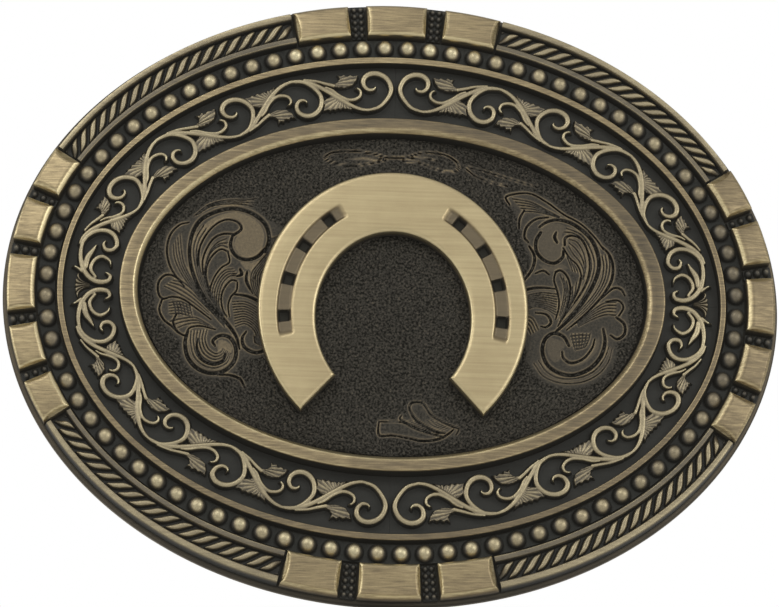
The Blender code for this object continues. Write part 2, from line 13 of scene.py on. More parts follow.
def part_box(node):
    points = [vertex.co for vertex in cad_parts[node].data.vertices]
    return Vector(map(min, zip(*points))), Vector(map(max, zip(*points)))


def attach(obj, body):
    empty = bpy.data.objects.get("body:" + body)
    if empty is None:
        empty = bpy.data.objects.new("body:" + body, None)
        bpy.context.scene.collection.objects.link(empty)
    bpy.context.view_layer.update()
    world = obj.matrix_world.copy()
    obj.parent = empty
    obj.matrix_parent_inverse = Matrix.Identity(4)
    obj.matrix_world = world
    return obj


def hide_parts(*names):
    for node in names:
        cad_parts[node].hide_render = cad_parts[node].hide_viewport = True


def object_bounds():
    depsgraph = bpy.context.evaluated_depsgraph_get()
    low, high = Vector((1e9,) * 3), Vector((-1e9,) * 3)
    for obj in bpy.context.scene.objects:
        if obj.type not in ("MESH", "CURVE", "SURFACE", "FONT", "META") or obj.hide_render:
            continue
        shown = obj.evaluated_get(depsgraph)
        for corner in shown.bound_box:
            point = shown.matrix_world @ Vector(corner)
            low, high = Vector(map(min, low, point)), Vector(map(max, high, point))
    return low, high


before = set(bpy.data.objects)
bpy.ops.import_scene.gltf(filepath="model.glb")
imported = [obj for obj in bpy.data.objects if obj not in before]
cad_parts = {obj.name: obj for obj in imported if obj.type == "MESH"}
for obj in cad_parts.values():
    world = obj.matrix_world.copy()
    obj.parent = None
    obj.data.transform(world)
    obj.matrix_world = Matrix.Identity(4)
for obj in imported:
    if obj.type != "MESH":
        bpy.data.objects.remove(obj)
CAD_BOX = [list(corner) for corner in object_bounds()]

MM = 0.001
RING_STEPS = 480


# ---- Measures taken from the CAD nodes ----

def oval_of(node):
    """Half width and half height of a node that is centred on the origin."""
    low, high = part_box(node)
    return np.array(((high.x - low.x) / 2.0, (high.z - low.z) / 2.0))


PLATE_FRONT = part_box("base_plate")[0].y
PLATE_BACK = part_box("base_plate")[1].y


def front(height):
    """Y coordinate of a height above the plate's front face."""
    return PLATE_FRONT - height


def top_of(node):
    """Height of a node's front-most point above the plate's front face."""
    return PLATE_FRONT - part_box(node)[0].y


GAP = PLATE_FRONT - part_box("wide_ring")[1].y
# Hairline left under each soldered piece
SEAM = 0.03 * MM
PLATE = oval_of("base_plate")
RIM_OUTER = np.array((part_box("block_right_3")[1].x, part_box("block_top_2")[1].z))
BEAD_OUTER = oval_of("bead_border")
RIM_INNER = BEAD_OUTER + GAP
NARROW_OUTER = oval_of("narrow_ring")
BEAD_INNER = NARROW_OUTER + GAP
NARROW_INNER = NARROW_OUTER - np.array((0.75, 0.85)) * MM
WIDE_OUTER = oval_of("wide_ring")
PANEL = oval_of("centre_panel")
WIDE_INNER = PANEL + GAP


def oval_points(oval, angle, height):
    """Points at oval angles and heights, as an array with x, y, z in its last axis."""
    oval = np.asarray(oval, dtype=float)
    x = oval[..., 0] * np.cos(angle)
    z = oval[..., 1] * np.sin(angle)
    return np.stack(np.broadcast_arrays(x, front(height), z), axis=-1)


def between(outer, inner, share):
    """Ovals that lie shares of the way from the outer to the inner one."""
    share = np.asarray(share, dtype=float)[..., None]
    return outer + (inner - outer) * share


def speed(oval, angle):
    """Distance moved along an oval per radian of its angle."""
    return np.hypot(oval[0] * np.sin(angle), oval[1] * np.cos(angle))


def even_angles(oval, first, last, count):
    """Angles evenly spaced by distance along an oval, both ends included."""
    fine = np.linspace(first, last, 2001)
    steps = speed(oval, (fine[1:] + fine[:-1]) / 2.0)
    travelled = np.concatenate(([0.0], np.cumsum(steps)))
    return np.interp(np.linspace(0.0, travelled[-1], count), travelled, fine)


def length_between(oval, first, last):
    """Distance along an oval between two of its angles."""
    fine = np.linspace(first, last, 801)
    return float(np.mean(speed(oval, fine)) * abs(last - first))


def angle_span(node):
    """First and last oval angle of a CAD node of the rim."""
    points = np.array([vertex.co[:] for vertex in bpy.data.objects[node].data.vertices])
    sides = points[:, (0, 2)] / RIM_OUTER
    reach = np.hypot(sides[:, 0], sides[:, 1])
    sides = sides[reach > reach.max() - 0.002]
    middle = math.atan2(sides[:, 1].mean(), sides[:, 0].mean())
    turns = np.arctan2(sides[:, 1], sides[:, 0]) - middle
    turns = (turns + math.pi) % (2.0 * math.pi) - math.pi
    return middle + turns.min(), middle + turns.max()


def ease(share):
    """Smooth step from 0 to 1."""
    share = np.clip(share, 0.0, 1.0)
    return share * share * (3.0 - 2.0 * share)


# ---- Mesh building ----

def add_piece(node, points, faces, polish_and_painted_light, material, slot, body="root", sharp=60.0):
    """One closed piece that stands for a CAD node and rides on its body."""
    name = node + "_fine"
    mesh = bpy.data.meshes.new(name)
    mesh.from_pydata(points, [], faces)
    # The polish layer holds the patina's real wear and also painted light and shade.
    layer = mesh.attributes.new("polish_and_painted_light", "FLOAT", "POINT")
    layer.data.foreach_set("value", np.asarray(polish_and_painted_light, dtype=np.float32).ravel())
    work = bmesh.new()
    work.from_mesh(mesh)
    if work.calc_volume(signed=True) < 0.0:
        bmesh.ops.reverse_faces(work, faces=work.faces)
    work.to_mesh(mesh)
    work.free()
    mesh.shade_smooth()
    mesh.set_sharp_from_angle(angle=math.radians(sharp))
    mesh.materials.append(material)
    piece = bpy.data.objects.new(name, mesh)
    bpy.context.collection.objects.link(piece)
    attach(piece, body)
    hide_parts(node)
    return piece


def skin(grid, wrap):
    """Points and faces of a solid whose rows are closed outlines; an open row of them is capped."""
    rows, columns = grid.shape[:2]
    index = np.arange(rows * columns).reshape(rows, columns)
    here = index if wrap else index[:-1]
    there = np.roll(index, -1, axis=0) if wrap else index[1:]
    corners = (here, np.roll(here, -1, axis=1), np.roll(there, -1, axis=1), there)
    faces = np.stack(corners, axis=-1).reshape(-1, 4).tolist()
    if not wrap:
        faces.append(index[0].tolist())
        faces.append(index[-1].tolist())
    return grid.reshape(-1, 3), faces


def add_solid(node, grid, polish_and_painted_light, material, slot, wrap=False, **options):
    """Piece whose rows are closed outlines, joined end to end or capped."""
    points, faces = skin(grid, wrap)
    return add_piece(node, points, faces, polish_and_painted_light, material, slot, **options)


def add_relief(node, top, polish_and_painted_light, material, slot, low=SEAM, wall_polish=0.05, **options):
    """Piece with a height field on top, closed through its underside at the height low."""
    first = top[:, :1].copy()
    last = top[:, -1:].copy()
    first[..., 1] = front(low)
    last[..., 1] = front(low)
    wall = np.full((top.shape[0], 1), wall_polish)
    grid = np.concatenate((first, top, last), axis=1)
    wear = np.concatenate((wall, polish_and_painted_light, wall), axis=1)
    return add_solid(node, grid, wear, material, slot, **options)


def turned_profile(oval, rows):
    """Angles round an oval, and the points and polish of (oval, height, polish) rows there."""
    angles = even_angles(oval, 0.0, 2.0 * math.pi, RING_STEPS + 1)[:-1]
    grid = np.stack([oval_points(row_oval, angles, height) for row_oval, height, _ in rows], axis=1)
    return angles, grid, np.tile([row[2] for row in rows], (RING_STEPS, 1))


def add_ring(node, rows, painted_light_right, painted_light_top):
    """Brushed ring with painted light and shade that change from side to side, from (oval, height,
    polish) rows.
    """
    angles, grid, polish_and_painted_light = turned_profile(rows[0][0], rows)
    # Painted light and shade: the polish is scaled up or down towards the right and the top of the
    # oval.
    polish_and_painted_light = polish_and_painted_light * (1.0 + painted_light_right * np.cos(angles) + painted_light_top * np.sin(angles))[:, None]
    add_solid(node, grid, polish_and_painted_light, RING_BRASS, "rings", wrap=True)


# ---- Relief painted on a fine raster, in millimetres ----

class Relief:
    """Raster of heights that strokes and leaves are raised from and cut into."""

    def __init__(self, low, high, step):
        self.low = np.array(low, dtype=float)
        self.step = step
        counts = np.ceil((np.array(high) - self.low) / step).astype(int) + 1
        self.x = self.low[0] + step * np.arange(counts[0])
        self.z = self.low[1] + step * np.arange(counts[1])
        self.edge = np.full(tuple(counts), -1.0)
        self.crown = np.zeros(tuple(counts))
        self.cut = np.zeros(tuple(counts))
        self.shade = np.zeros(tuple(counts))

    def window(self, low_x, high_x, low_z, high_z):
        """Index ranges of the part of the raster within a rectangle."""
        i = np.clip(np.searchsorted(self.x, (low_x, high_x)), 0, len(self.x))
        j = np.clip(np.searchsorted(self.z, (low_z, high_z)), 0, len(self.z))
        return slice(i[0], i[1]), slice(j[0], j[1])

    def raise_stroke(self, path, reach=0.35):
        """Round-topped ridge along a path of (x, z, radius)."""
        for x, z, radius in path:
            span = radius + reach
            area = self.window(x - span, x + span, z - span, z + span)
            away = np.hypot(self.x[area[0], None] - x, self.z[None, area[1]] - z)
            np.maximum(self.edge[area], radius - away, out=self.edge[area])
            crown = np.sqrt(np.clip(1.0 - (away / max(radius, 0.01)) ** 2, 0.0, 1.0))
            np.maximum(self.crown[area], crown, out=self.crown[area])
            self.shade[area] *= away > radius

    def cut_stroke(self, path, depth):
        """V-shaped groove along a path of (x, z, radius)."""
        for x, z, radius in path:
            far = radius + self.step
            area = self.window(x - radius, x + far, z - radius, z + far)
            away = np.hypot(self.x[area[0], None] - x, self.z[None, area[1]] - z)
            groove = depth * np.clip(1.25 * (1.0 - away / radius), 0.0, 1.0)
            np.maximum(self.cut[area], groove, out=self.cut[area])

    def leaf(self, outline, base, veins, vein_depth):
        """Raised leaf within an outline, with veins that spread from its base."""
        outline = np.asarray(outline, dtype=float)
        low = outline.min(axis=0) - 0.4
        high = outline.max(axis=0) + 0.4
        area = self.window(low[0], high[0], low[1], high[1])
        x = self.x[area[0], None]
        z = self.z[None, area[1]]
        inside, away = outline_distance(outline, x, z)
        edge = np.where(inside, away, -away)
        np.maximum(self.edge[area], edge, out=self.edge[area])
        spread = np.arctan2(z - base[1], x - base[0])
        reach = np.hypot(x - base[0], z - base[1])
        groove = (0.5 + 0.5 * np.cos(spread * veins)) ** 3 * ease(reach / 0.8) * vein_depth
        crown = np.where(inside, np.clip(0.35 + away * 0.5, 0.0, 0.85) - groove, 0.0)
        np.maximum(self.crown[area], crown, out=self.crown[area])
        np.maximum(self.shade[area], inside.astype(float), out=self.shade[area])

    def sample(self, field, x, z):
        """Field values at points, by bilinear interpolation."""
        i = np.clip((x - self.low[0]) / self.step, 0.0, len(self.x) - 1.001)
        j = np.clip((z - self.low[1]) / self.step, 0.0, len(self.z) - 1.001)
        i0 = i.astype(int)
        j0 = j.astype(int)
        u = i - i0
        v = j - j0
        near = field[i0, j0] * (1.0 - v) + field[i0, j0 + 1] * v
        far = field[i0 + 1, j0] * (1.0 - v) + field[i0 + 1, j0 + 1] * v
        return near * (1.0 - u) + far * u


def outline_distance(outline, x, z):
    """Which points lie inside a closed outline, and how far all of them are from it."""
    inside = np.zeros(np.broadcast_shapes(x.shape, z.shape), dtype=bool)
    away = np.full(inside.shape, 1e9)
    for (ax, az), (bx, bz) in zip(outline, np.roll(outline, -1, axis=0)):
        crosses = ((az > z) != (bz > z)) & (x < (bx - ax) * (z - az) / (bz - az + 1e-12) + ax)
        inside ^= crosses
        run = np.array((bx - ax, bz - az))
        share = np.clip(((x - ax) * run[0] + (z - az) * run[1]) / (run @ run + 1e-12), 0.0, 1.0)
        away = np.minimum(away, np.hypot(x - ax - share * run[0], z - az - share * run[1]))
    return inside, away


def curve(points, step=0.06):
    """Smooth path through points of any width, sampled about every step."""
    points = np.asarray(points, dtype=float)
    padded = np.vstack((2.0 * points[0] - points[1], points, 2.0 * points[-1] - points[-2]))
    pieces = []
    for i in range(1, len(padded) - 2):
        p0, p1, p2, p3 = padded[i - 1:i + 3]
        count = max(2, int(np.hypot(*(p2 - p1)[:2]) / step))
        t = np.linspace(0.0, 1.0, count, endpoint=False)[:, None]
        pieces.append(
            0.5 * (2.0 * p1 + (p2 - p0) * t + (2.0 * p0 - 5.0 * p1 + 4.0 * p2 - p3) * t ** 2
                   + (3.0 * p1 - p0 - 3.0 * p2 + p3) * t ** 3)
        )
    pieces.append(points[-1:])
    return np.vstack(pieces)


def blurred(field, times):
    """Field averaged over its neighbours a number of times."""
    for _ in range(times):
        padded = np.pad(field, 1, mode="edge")
        field = (padded[:-2, 1:-1] + padded[2:, 1:-1] + padded[1:-1, :-2] + padded[1:-1, 2:]) / 4.0
    return field


def speckle(shape, grain, seed):
    """Smooth random field from 0 to 1 with bumps about grain cells wide."""
    cells = (int(shape[0] / grain) + 3, int(shape[1] / grain) + 3)
    source = np.random.default_rng(seed).random(cells)
    i = np.arange(shape[0]) / grain
    j = np.arange(shape[1]) / grain
    i0 = i.astype(int)
    j0 = j.astype(int)
    u = ease(i - i0)[:, None]
    v = ease(j - j0)[None, :]
    near = source[i0][:, j0] * (1.0 - v) + source[i0][:, j0 + 1] * v
    far = source[i0 + 1][:, j0] * (1.0 - v) + source[i0 + 1][:, j0 + 1] * v
    return near * (1.0 - u) + far * u


# ---- Materials: one brass whose patina is worn off, and painted light and shade laid on, by the mesh's polish layer ----

# Painted glow: strength and colour of a faint emission that lifts the darkest hollows as stray
# light would
PAINTED_GLOW = 0.008
PAINTED_GLOW_COLOUR = (1.0, 0.93, 0.78, 1.0)
BLOTCH_SIZE = (6.0, 6.0, 6.0)
SCRATCH_DEPTH = 0.03 * MM
# Colours of the brass from full patina at 0 to bare metal at 1
PATINA_STOPS = (
    (0.0, (0.026, 0.0255, 0.021)),
    (0.2, (0.050, 0.046, 0.038)),
    (0.4, (0.100, 0.084, 0.060)),
    (0.6, (0.200, 0.158, 0.096)),
    (0.8, (0.375, 0.298, 0.168)),
    (1.0, (0.640, 0.540, 0.315)),
)


def wire(tree, node, inputs):
    """Give a node's inputs values, or links to other nodes' outputs."""
    for key, value in inputs.items():
        if isinstance(value, bpy.types.NodeSocket):
            tree.links.new(value, node.inputs[key])
        else:
            node.inputs[key].default_value = value
    return node


def wired(tree, kind, inputs, **settings):
    """New shader node with its settings and inputs."""
    node = tree.nodes.new(kind)
    for name, value in settings.items():
        setattr(node, name, value)
    return wire(tree, node, inputs)


def maths(tree, operation, *inputs, clamp=False):
    """Result of a maths node."""
    settings = {"operation": operation, "use_clamp": clamp}
    return wired(tree, "ShaderNodeMath", dict(enumerate(inputs)), **settings).outputs[0]


def noise(tree, coordinates, grain, detail):
    """Noise whose grain has the given size along each axis, in millimetres."""
    mapping = wired(tree, "ShaderNodeMapping", {
        "Vector": coordinates, "Scale": [1.0 / (size * MM) for size in grain],
    })
    texture = wired(tree, "ShaderNodeTexNoise", {
        "Vector": mapping.outputs["Vector"], "Scale": 1.0, "Detail": detail, "Roughness": 0.6,
    })
    return texture.outputs["Fac"]


def aged_brass(name, streak=0.25, streak_size=(7.0, 0.28, 0.28), blotch=0.12, grain=0.08,
               grain_size=0.16, marks_from=0.25, marks_to=1.0, marks_end=1.0, rough=(0.62, 0.34),
               bump=0.25, bump_size=(1.6, 0.06, 0.06), tint=(1.0, 1.0, 1.0), dark=1.0, painted_glow=PAINTED_GLOW):
    """Antiqued brass: brushed streaks, blotches and grain shift how far its patina is worn off.

    The marks' strength runs from marks_from where the polish is 0 to marks_to at marks_end.
    """
    material = bpy.data.materials.new(name)
    material.use_nodes = True
    tree = material.node_tree
    coordinates = wired(tree, "ShaderNodeTexCoord", {}).outputs["Object"]
    polish_and_painted_light = wired(tree, "ShaderNodeAttribute", {}, attribute_name="polish_and_painted_light").outputs["Fac"]
    marks = None
    for size, detail, weight in (
        (streak_size, 5.0, streak), (BLOTCH_SIZE, 3.0, blotch), ((grain_size,) * 3, 2.0, grain),
    ):
        centred = maths(tree, "SUBTRACT", noise(tree, coordinates, size, detail), 0.5)
        mark = maths(tree, "MULTIPLY", centred, weight)
        marks = mark if marks is None else maths(tree, "ADD", marks, mark)
    strength = wired(tree, "ShaderNodeMapRange", {
        "Value": polish_and_painted_light, "From Max": marks_end, "To Min": marks_from, "To Max": marks_to,
    })
    worn_and_painted_light = maths(tree, "MULTIPLY_ADD", marks, strength.outputs["Result"], polish_and_painted_light, clamp=True)
    ramp = wired(tree, "ShaderNodeValToRGB", {"Fac": worn_and_painted_light})
    colours = [[part * shade for part, shade in zip(colour, tint)] for _, colour in PATINA_STOPS]
    colours[0] = [part * dark for part in colours[0]]
    ramp.color_ramp.elements[0].color = (*colours[0], 1.0)
    ramp.color_ramp.elements[1].color = (*colours[-1], 1.0)
    for (place, _), colour in list(zip(PATINA_STOPS, colours))[1:-1]:
        ramp.color_ramp.elements.new(place).color = (*colour, 1.0)
    roughness = wired(tree, "ShaderNodeMapRange", {
        "Value": worn_and_painted_light, "To Min": rough[0], "To Max": rough[1],
    })
    relief = wired(tree, "ShaderNodeBump", {
        "Height": noise(tree, coordinates, bump_size, 3.0), "Strength": bump,
        "Distance": SCRATCH_DEPTH,
    })
    wire(tree, tree.nodes["Principled BSDF"], {
        "Metallic": 1.0, "Base Color": ramp.outputs["Color"],
        "Roughness": roughness.outputs["Result"], "Normal": relief.outputs["Normal"],
        # Painted glow: the emission makes the whole brass glow faintly, lifting its darkest
        # hollows.
        "Emission Color": PAINTED_GLOW_COLOUR, "Emission Strength": painted_glow,
    })
    return material


EMBLEM_BRASS = aged_brass("emblem_brass", streak=0.20, streak_size=(12.0, 0.4, 0.3), grain=0.03)
BLOCK_BRASS = aged_brass(
    "block_brass", streak=0.75, streak_size=(3.0, 0.3, 0.22), blotch=0.25, grain=0.12,
)
RING_BRASS = aged_brass(
    "ring_brass", streak=0.85, streak_size=(2.6, 0.3, 0.2), blotch=0.3, grain=0.14,
)
# Small ornament's brass is painted paler than the flats, a painted sheen that makes its highlights
# whiter
PALE_SHEEN = (1.06, 1.13, 1.25)
BEAD_BRASS = aged_brass(
    "bead_brass", streak=0.2, blotch=0.5, grain=0.3, rough=(0.6, 0.42), bump=0.1, tint=PALE_SHEEN,
)
ROPE_BRASS = aged_brass(
    "rope_brass", streak=0.4, blotch=0.35, grain=0.3, rough=(0.6, 0.36), tint=PALE_SHEEN,
)
SCROLL_BRASS = aged_brass("scroll_brass", streak=0.3, blotch=0.3, grain=0.3, tint=PALE_SHEEN)
# The panel's stipple is strong grain that fades where the panel is worn
# The panel's painted glow is half that of the other brass.
PANEL_BRASS = aged_brass(
    "panel_brass", streak=0.06, grain=1.7, grain_size=0.3, marks_from=1.0, marks_to=0.12,
    marks_end=0.24, rough=(0.6, 0.4), bump=0.5, bump_size=(0.2, 0.2, 0.2), dark=0.4, painted_glow=0.004,
)
PLATE_BRASS = aged_brass("plate_brass", streak=0.3, streak_size=(9.0, 0.4, 0.3), blotch=0.3)
HARDWARE_BRASS = aged_brass(
    "hardware_brass", streak=0.2, streak_size=(1.5, 0.5, 0.5), blotch=0.2, rough=(0.6, 0.26),
)


# ---- Base plate and rings ----

SEAT = np.array((9.5, 19.0)) * MM
SEAT_HEIGHT = 0.2 * MM
# Rounding of the plate's edges, and the steps that it's drawn in
PLATE_EDGE = 0.35 * MM
EDGE_TURNS = np.radians((0.0, 22.5, 45.0, 67.5, 90.0))
WIDE_BEVEL = 0.55 * MM


def add_base_plate():
    """Plate with rounded edges, dark in front and brushed behind, and its low seat for the belt."""
    seat = PLATE_FRONT - PLATE_BACK
    back = seat + SEAT_HEIGHT
    rows = [
        (SEAT * 0.02, seat, 0.70), (SEAT - 0.4 * MM, seat, 0.70),
        (SEAT - 0.05 * MM, seat + 0.02 * MM, 0.82), (SEAT, seat + 0.06 * MM, 0.78),
        (SEAT + 0.01 * MM, back, 0.35), (SEAT + 0.3 * MM, back, 0.60),
        (PLATE - 1.2 * MM, back, 0.66),
    ]
    for turn in EDGE_TURNS:
        edge = PLATE - PLATE_EDGE * (1.0 - math.sin(turn))
        rows.append((edge, back + PLATE_EDGE * (1.0 - math.cos(turn)), 0.7))
    for turn in EDGE_TURNS:
        edge = PLATE - PLATE_EDGE * (1.0 - math.cos(turn))
        rows.append((edge, -PLATE_EDGE * (1.0 - math.sin(turn)), 0.30))
    rows += [(PLATE - 0.8 * MM, 0.0, 0.12), (PLATE * 0.02, 0.0, 0.05)]
    angles, grid, polish_and_painted_light = turned_profile(PLATE, rows)
    polish_and_painted_light = polish_and_painted_light * (1.0 + 0.35 * np.abs(np.cos(angles)) ** 3)[:, None]
    index = np.arange(grid.shape[0] * grid.shape[1]).reshape(grid.shape[:2])
    there = np.roll(index, -1, axis=0)
    corners = (index[:, :-1], index[:, 1:], there[:, 1:], there[:, :-1])
    faces = np.stack(corners, axis=-1).reshape(-1, 4).tolist()
    faces.append(index[:, 0].tolist())
    faces.append(index[::-1, -1].tolist())
    add_piece("base_plate", grid.reshape(-1, 3), faces, polish_and_painted_light, PLATE_BRASS, "base_plate")


def add_rings():
    """Wide brushed ring with its polished inner bevel, and the narrow ring."""
    top = top_of("wide_ring")
    # Painted shade: the wide ring is painted darker on the right and at the top.
    add_ring("wide_ring", [
        (WIDE_OUTER, SEAM, 0.02), (WIDE_OUTER, top - 0.5 * MM, 0.1),
        (WIDE_OUTER - 0.04 * MM, top - 0.12 * MM, 0.6),
        (WIDE_OUTER - 0.14 * MM, top - 0.02 * MM, 0.78), (WIDE_OUTER - 0.3 * MM, top, 0.6),
        ((WIDE_OUTER + WIDE_INNER) / 2.0, top, 0.56),
        (WIDE_INNER + WIDE_BEVEL + 0.15 * MM, top, 0.62),
        (WIDE_INNER + WIDE_BEVEL, top - 0.02 * MM, 0.85),
        (WIDE_INNER + WIDE_BEVEL - 0.12 * MM, top - 0.12 * MM, 0.95),
        (WIDE_INNER + 0.08 * MM, top - WIDE_BEVEL + 0.08 * MM, 0.92),
        (WIDE_INNER, top - WIDE_BEVEL - 0.1 * MM, 0.35), (WIDE_INNER, SEAM, 0.02),
    ], -0.13, -0.10)
    top = top_of("narrow_ring")
    # Painted light and shade: the narrow ring is painted a little darker on the right and lighter
    # at the top.
    add_ring("narrow_ring", [
        (NARROW_OUTER, SEAM, 0.02), (NARROW_OUTER, top - 0.4 * MM, 0.12),
        (NARROW_OUTER - 0.02 * MM, top - 0.1 * MM, 0.6), (NARROW_OUTER - 0.1 * MM, top, 0.75),
        (NARROW_OUTER - 0.2 * MM, top, 0.62), (NARROW_INNER + 0.2 * MM, top, 0.62),
        (NARROW_INNER + 0.1 * MM, top, 0.75), (NARROW_INNER + 0.02 * MM, top - 0.1 * MM, 0.55),
        (NARROW_INNER, top - 0.4 * MM, 0.1), (NARROW_INNER, SEAM, 0.02),
    ], -0.04, 0.12)


# ---- Rim: blocks, bead strips, ropes ----

def edge_places(bevel_share, middle_count):
    """Places from 0 to 1 that lie closer together over a bevel at each end."""
    start = np.array((0.0, 0.12, 0.3, 0.55, 0.8, 1.0, 1.25)) * bevel_share
    middle = np.linspace(start[-1], 1.0 - start[-1], middle_count + 2)[1:-1]
    return np.concatenate((start, middle, 1.0 - start[::-1]))


def bevel_drop(distance, width, depth):
    """How far a bevelled edge lies below its flat, with both of its corners rounded."""
    share = np.clip(1.0 - distance / width, 0.0, 1.0)
    return depth * (share + 0.25 * share ** 8 - 0.12 * share * (1.0 - share)) / 1.25


# Bevels of the blocks and columns and rows of beads between them, at the ends and at top and bottom
END_BLOCKS = {
    "count": 5, "outer_width": 0.40 * MM, "outer_depth": 0.24 * MM, "inner_width": 0.68 * MM,
    "beads": (1, 3),
}
LONG_BLOCKS = {
    "count": 3, "outer_width": 0.48 * MM, "outer_depth": 0.95 * MM, "inner_width": 0.42 * MM,
    "beads": (2, 5),
}
# How far each group is worn bright, with painted light that sets the left blocks brighter than the
# right, and how much painted shade darkens its outer bevel
BLOCK_GROUPS = {
    "right": {"worn_and_painted_light": 0.63, "outer_bevel_shade": 0.1, **END_BLOCKS},
    "top": {"worn_and_painted_light": 0.69, "outer_bevel_shade": 0.2, **LONG_BLOCKS},
    "left": {"worn_and_painted_light": 0.725, "outer_bevel_shade": 0.0, **END_BLOCKS},
    "bottom": {"worn_and_painted_light": 0.715, "outer_bevel_shade": 0.35, **LONG_BLOCKS},
}
QUARTERS = ("upper_right", "upper_left", "lower_left", "lower_right")
# How far a block's side is hollowed, next to a rope and next to beads
FLARED_HOLLOW = 0.42
PLAIN_HOLLOW = 0.2
BLOCK_SLOPE = 0.4 * MM
BLOCK_SIDE_BEVEL = 0.38 * MM
BLOCK_INNER_DEPTH = 0.55 * MM
BLOCK_PILLOW = 0.05 * MM
STRIP_FLOOR = 0.75 * MM
ROPE_FLOOR = 0.6 * MM
ROPE_PITCH = 1.8 * MM
ROPE_MARGIN = 0.25 * MM
STRAND_WIDTH = 0.45 * MM
STRAND_HEIGHT = 0.9 * MM
BORDER_BEADS = 84
BORDER_FLOOR = 0.8 * MM
BORDER_BEAD_RADIUS = 1.18 * MM


def add_block(group, number):
    """Brushed block with bright bevels and hollow sides, most hollow next to a rope."""
    style = BLOCK_GROUPS[group]
    node = f"block_{group}_{number}"
    start, end = angle_span(node)
    along = edge_places(0.055, 12)[:, None]
    across = edge_places(0.12, 10)[None, :]
    width = length_between(RIM_INNER, start, end)
    hollow = np.sin(math.pi * across) ** 0.8 * MM / width
    first_hollow = FLARED_HOLLOW if number == 1 else PLAIN_HOLLOW
    last_hollow = FLARED_HOLLOW if number == style["count"] else PLAIN_HOLLOW
    low = start + (end - start) * hollow * first_hollow
    high = end - (end - start) * hollow * last_hollow
    angles = low + (high - low) * along
    ovals = between(RIM_OUTER, RIM_INNER, np.broadcast_to(across, angles.shape))
    depth = (RIM_OUTER - RIM_INNER).mean()
    inner_top = top_of(node)
    outer_top = inner_top - BLOCK_SLOPE
    height = outer_top + (inner_top - outer_top) * across
    side = np.minimum(along, 1.0 - along) * width
    side_drop = bevel_drop(side, BLOCK_SIDE_BEVEL, BLOCK_SIDE_BEVEL)
    outer_edge = np.broadcast_to(across * depth, angles.shape)
    outer_drop = bevel_drop(outer_edge, style["outer_width"], style["outer_depth"])
    inner_edge = np.broadcast_to((1.0 - across) * depth, angles.shape)
    inner_drop = bevel_drop(inner_edge, style["inner_width"], BLOCK_INNER_DEPTH)
    drop = np.maximum(np.maximum(side_drop, outer_drop), inner_drop)
    pillow = BLOCK_PILLOW * (1.0 - np.sin(math.pi * along))
    grid = oval_points(ovals, angles, height - drop - pillow)
    # Each group's level is its wear plus painted light: brighter on the left, darker on the right.
    polish_and_painted_light = style["worn_and_painted_light"] + 0.22 * np.clip(drop / (0.12 * MM), 0.0, 1.0)
    polish_and_painted_light = polish_and_painted_light + 0.08 * (inner_drop > 0.05 * MM)
    # Painted shade: the outer bevel is painted darker, most at the bottom and none on the left.
    polish_and_painted_light = polish_and_painted_light - style["outer_bevel_shade"] * ease((outer_drop / MM - 0.35) / 0.4)
    add_relief(node, grid, polish_and_painted_light, BLOCK_BRASS, "bright_blocks", wall_polish=0.1, sharp=50.0)


def add_bead_strip(node, columns, rows):
    """Strip between two blocks with round beads in columns along the rim and rows across it."""
    start, end = angle_span(node)
    width = length_between(RIM_INNER, start, end)
    depth = float(np.hypot(*(RIM_OUTER - RIM_INNER))) / math.sqrt(2.0)
    along = np.linspace(0.0, 1.0, 16 * columns + 5)[:, None]
    across = np.linspace(0.0, 1.0, 16 * rows + 5)[None, :]
    radius = min(width / columns, depth / rows) * 0.46
    column = np.clip(np.floor(along * columns), 0, columns - 1) + 0.5
    row = np.clip(np.floor(across * rows), 0, rows - 1) + 0.5
    away_along = (along * columns - column) * width / columns
    away = np.hypot(away_along, (across * rows - row) * depth / rows)
    dome = np.sqrt(np.clip(1.0 - (away / radius) ** 2, 0.0, 1.0))
    height = STRIP_FLOOR + dome * min(radius * 1.3, 0.75 * MM)
    angles = start + (end - start) * np.broadcast_to(along, height.shape)
    ovals = between(RIM_OUTER, RIM_INNER, np.broadcast_to(across, height.shape))
    polish_and_painted_light = 0.06 + 0.42 * dome ** 4 * (1.0 - 0.45 * across)
    grid = oval_points(ovals, angles, height)
    add_relief(node, grid, polish_and_painted_light, BEAD_BRASS, "beads", sharp=80.0)


def add_rim():
    """Blocks and bead strips of the four groups."""
    for group, style in BLOCK_GROUPS.items():
        for number in range(1, style["count"] + 1):
            add_block(group, number)
        for number in range(1, style["count"]):
            add_bead_strip(f"bead_strip_{group}_{number}", *style["beads"])


def add_rope_channel(quarter):
    """Channel with a sloping bright rail on each side of its rope."""
    node = "rope_channel_" + quarter
    start, end = angle_span(node)
    top = top_of(node)
    floor = ROPE_FLOOR
    profile = (
        (0.0, SEAM, 0.05), (0.0, top - 0.85 * MM, 0.1), (0.03, top - 0.40 * MM, 0.4),
        (0.055, top - 0.12 * MM, 0.72), (0.07, top - 0.02 * MM, 0.82), (0.085, top, 0.76),
        (0.19, top, 0.68), (0.21, top - 0.02 * MM, 0.72), (0.235, top - 0.14 * MM, 0.6),
        (0.262, floor + 0.4 * MM, 0.1), (0.27, floor, 0.02), (0.79, floor, 0.02),
        (0.798, floor + 0.4 * MM, 0.1), (0.815, top - 0.14 * MM, 0.5),
        (0.835, top - 0.02 * MM, 0.56), (0.855, top, 0.5), (0.945, top, 0.5),
        (0.965, top - 0.02 * MM, 0.78), (0.985, top - 0.12 * MM, 0.6), (1.0, top - 0.3 * MM, 0.3),
        (1.0, SEAM, 0.03),
    )
    steps = 120
    angles = np.linspace(start, end, steps + 1)
    grid = np.stack([
        oval_points(between(RIM_OUTER, RIM_INNER, np.full(steps + 1, share)), angles, height)
        for share, height, _ in profile
    ], axis=1)
    polish_and_painted_light = np.tile([row[2] for row in profile], (steps + 1, 1))
    add_solid(node, grid, polish_and_painted_light, ROPE_BRASS, "ropes", sharp=35.0)


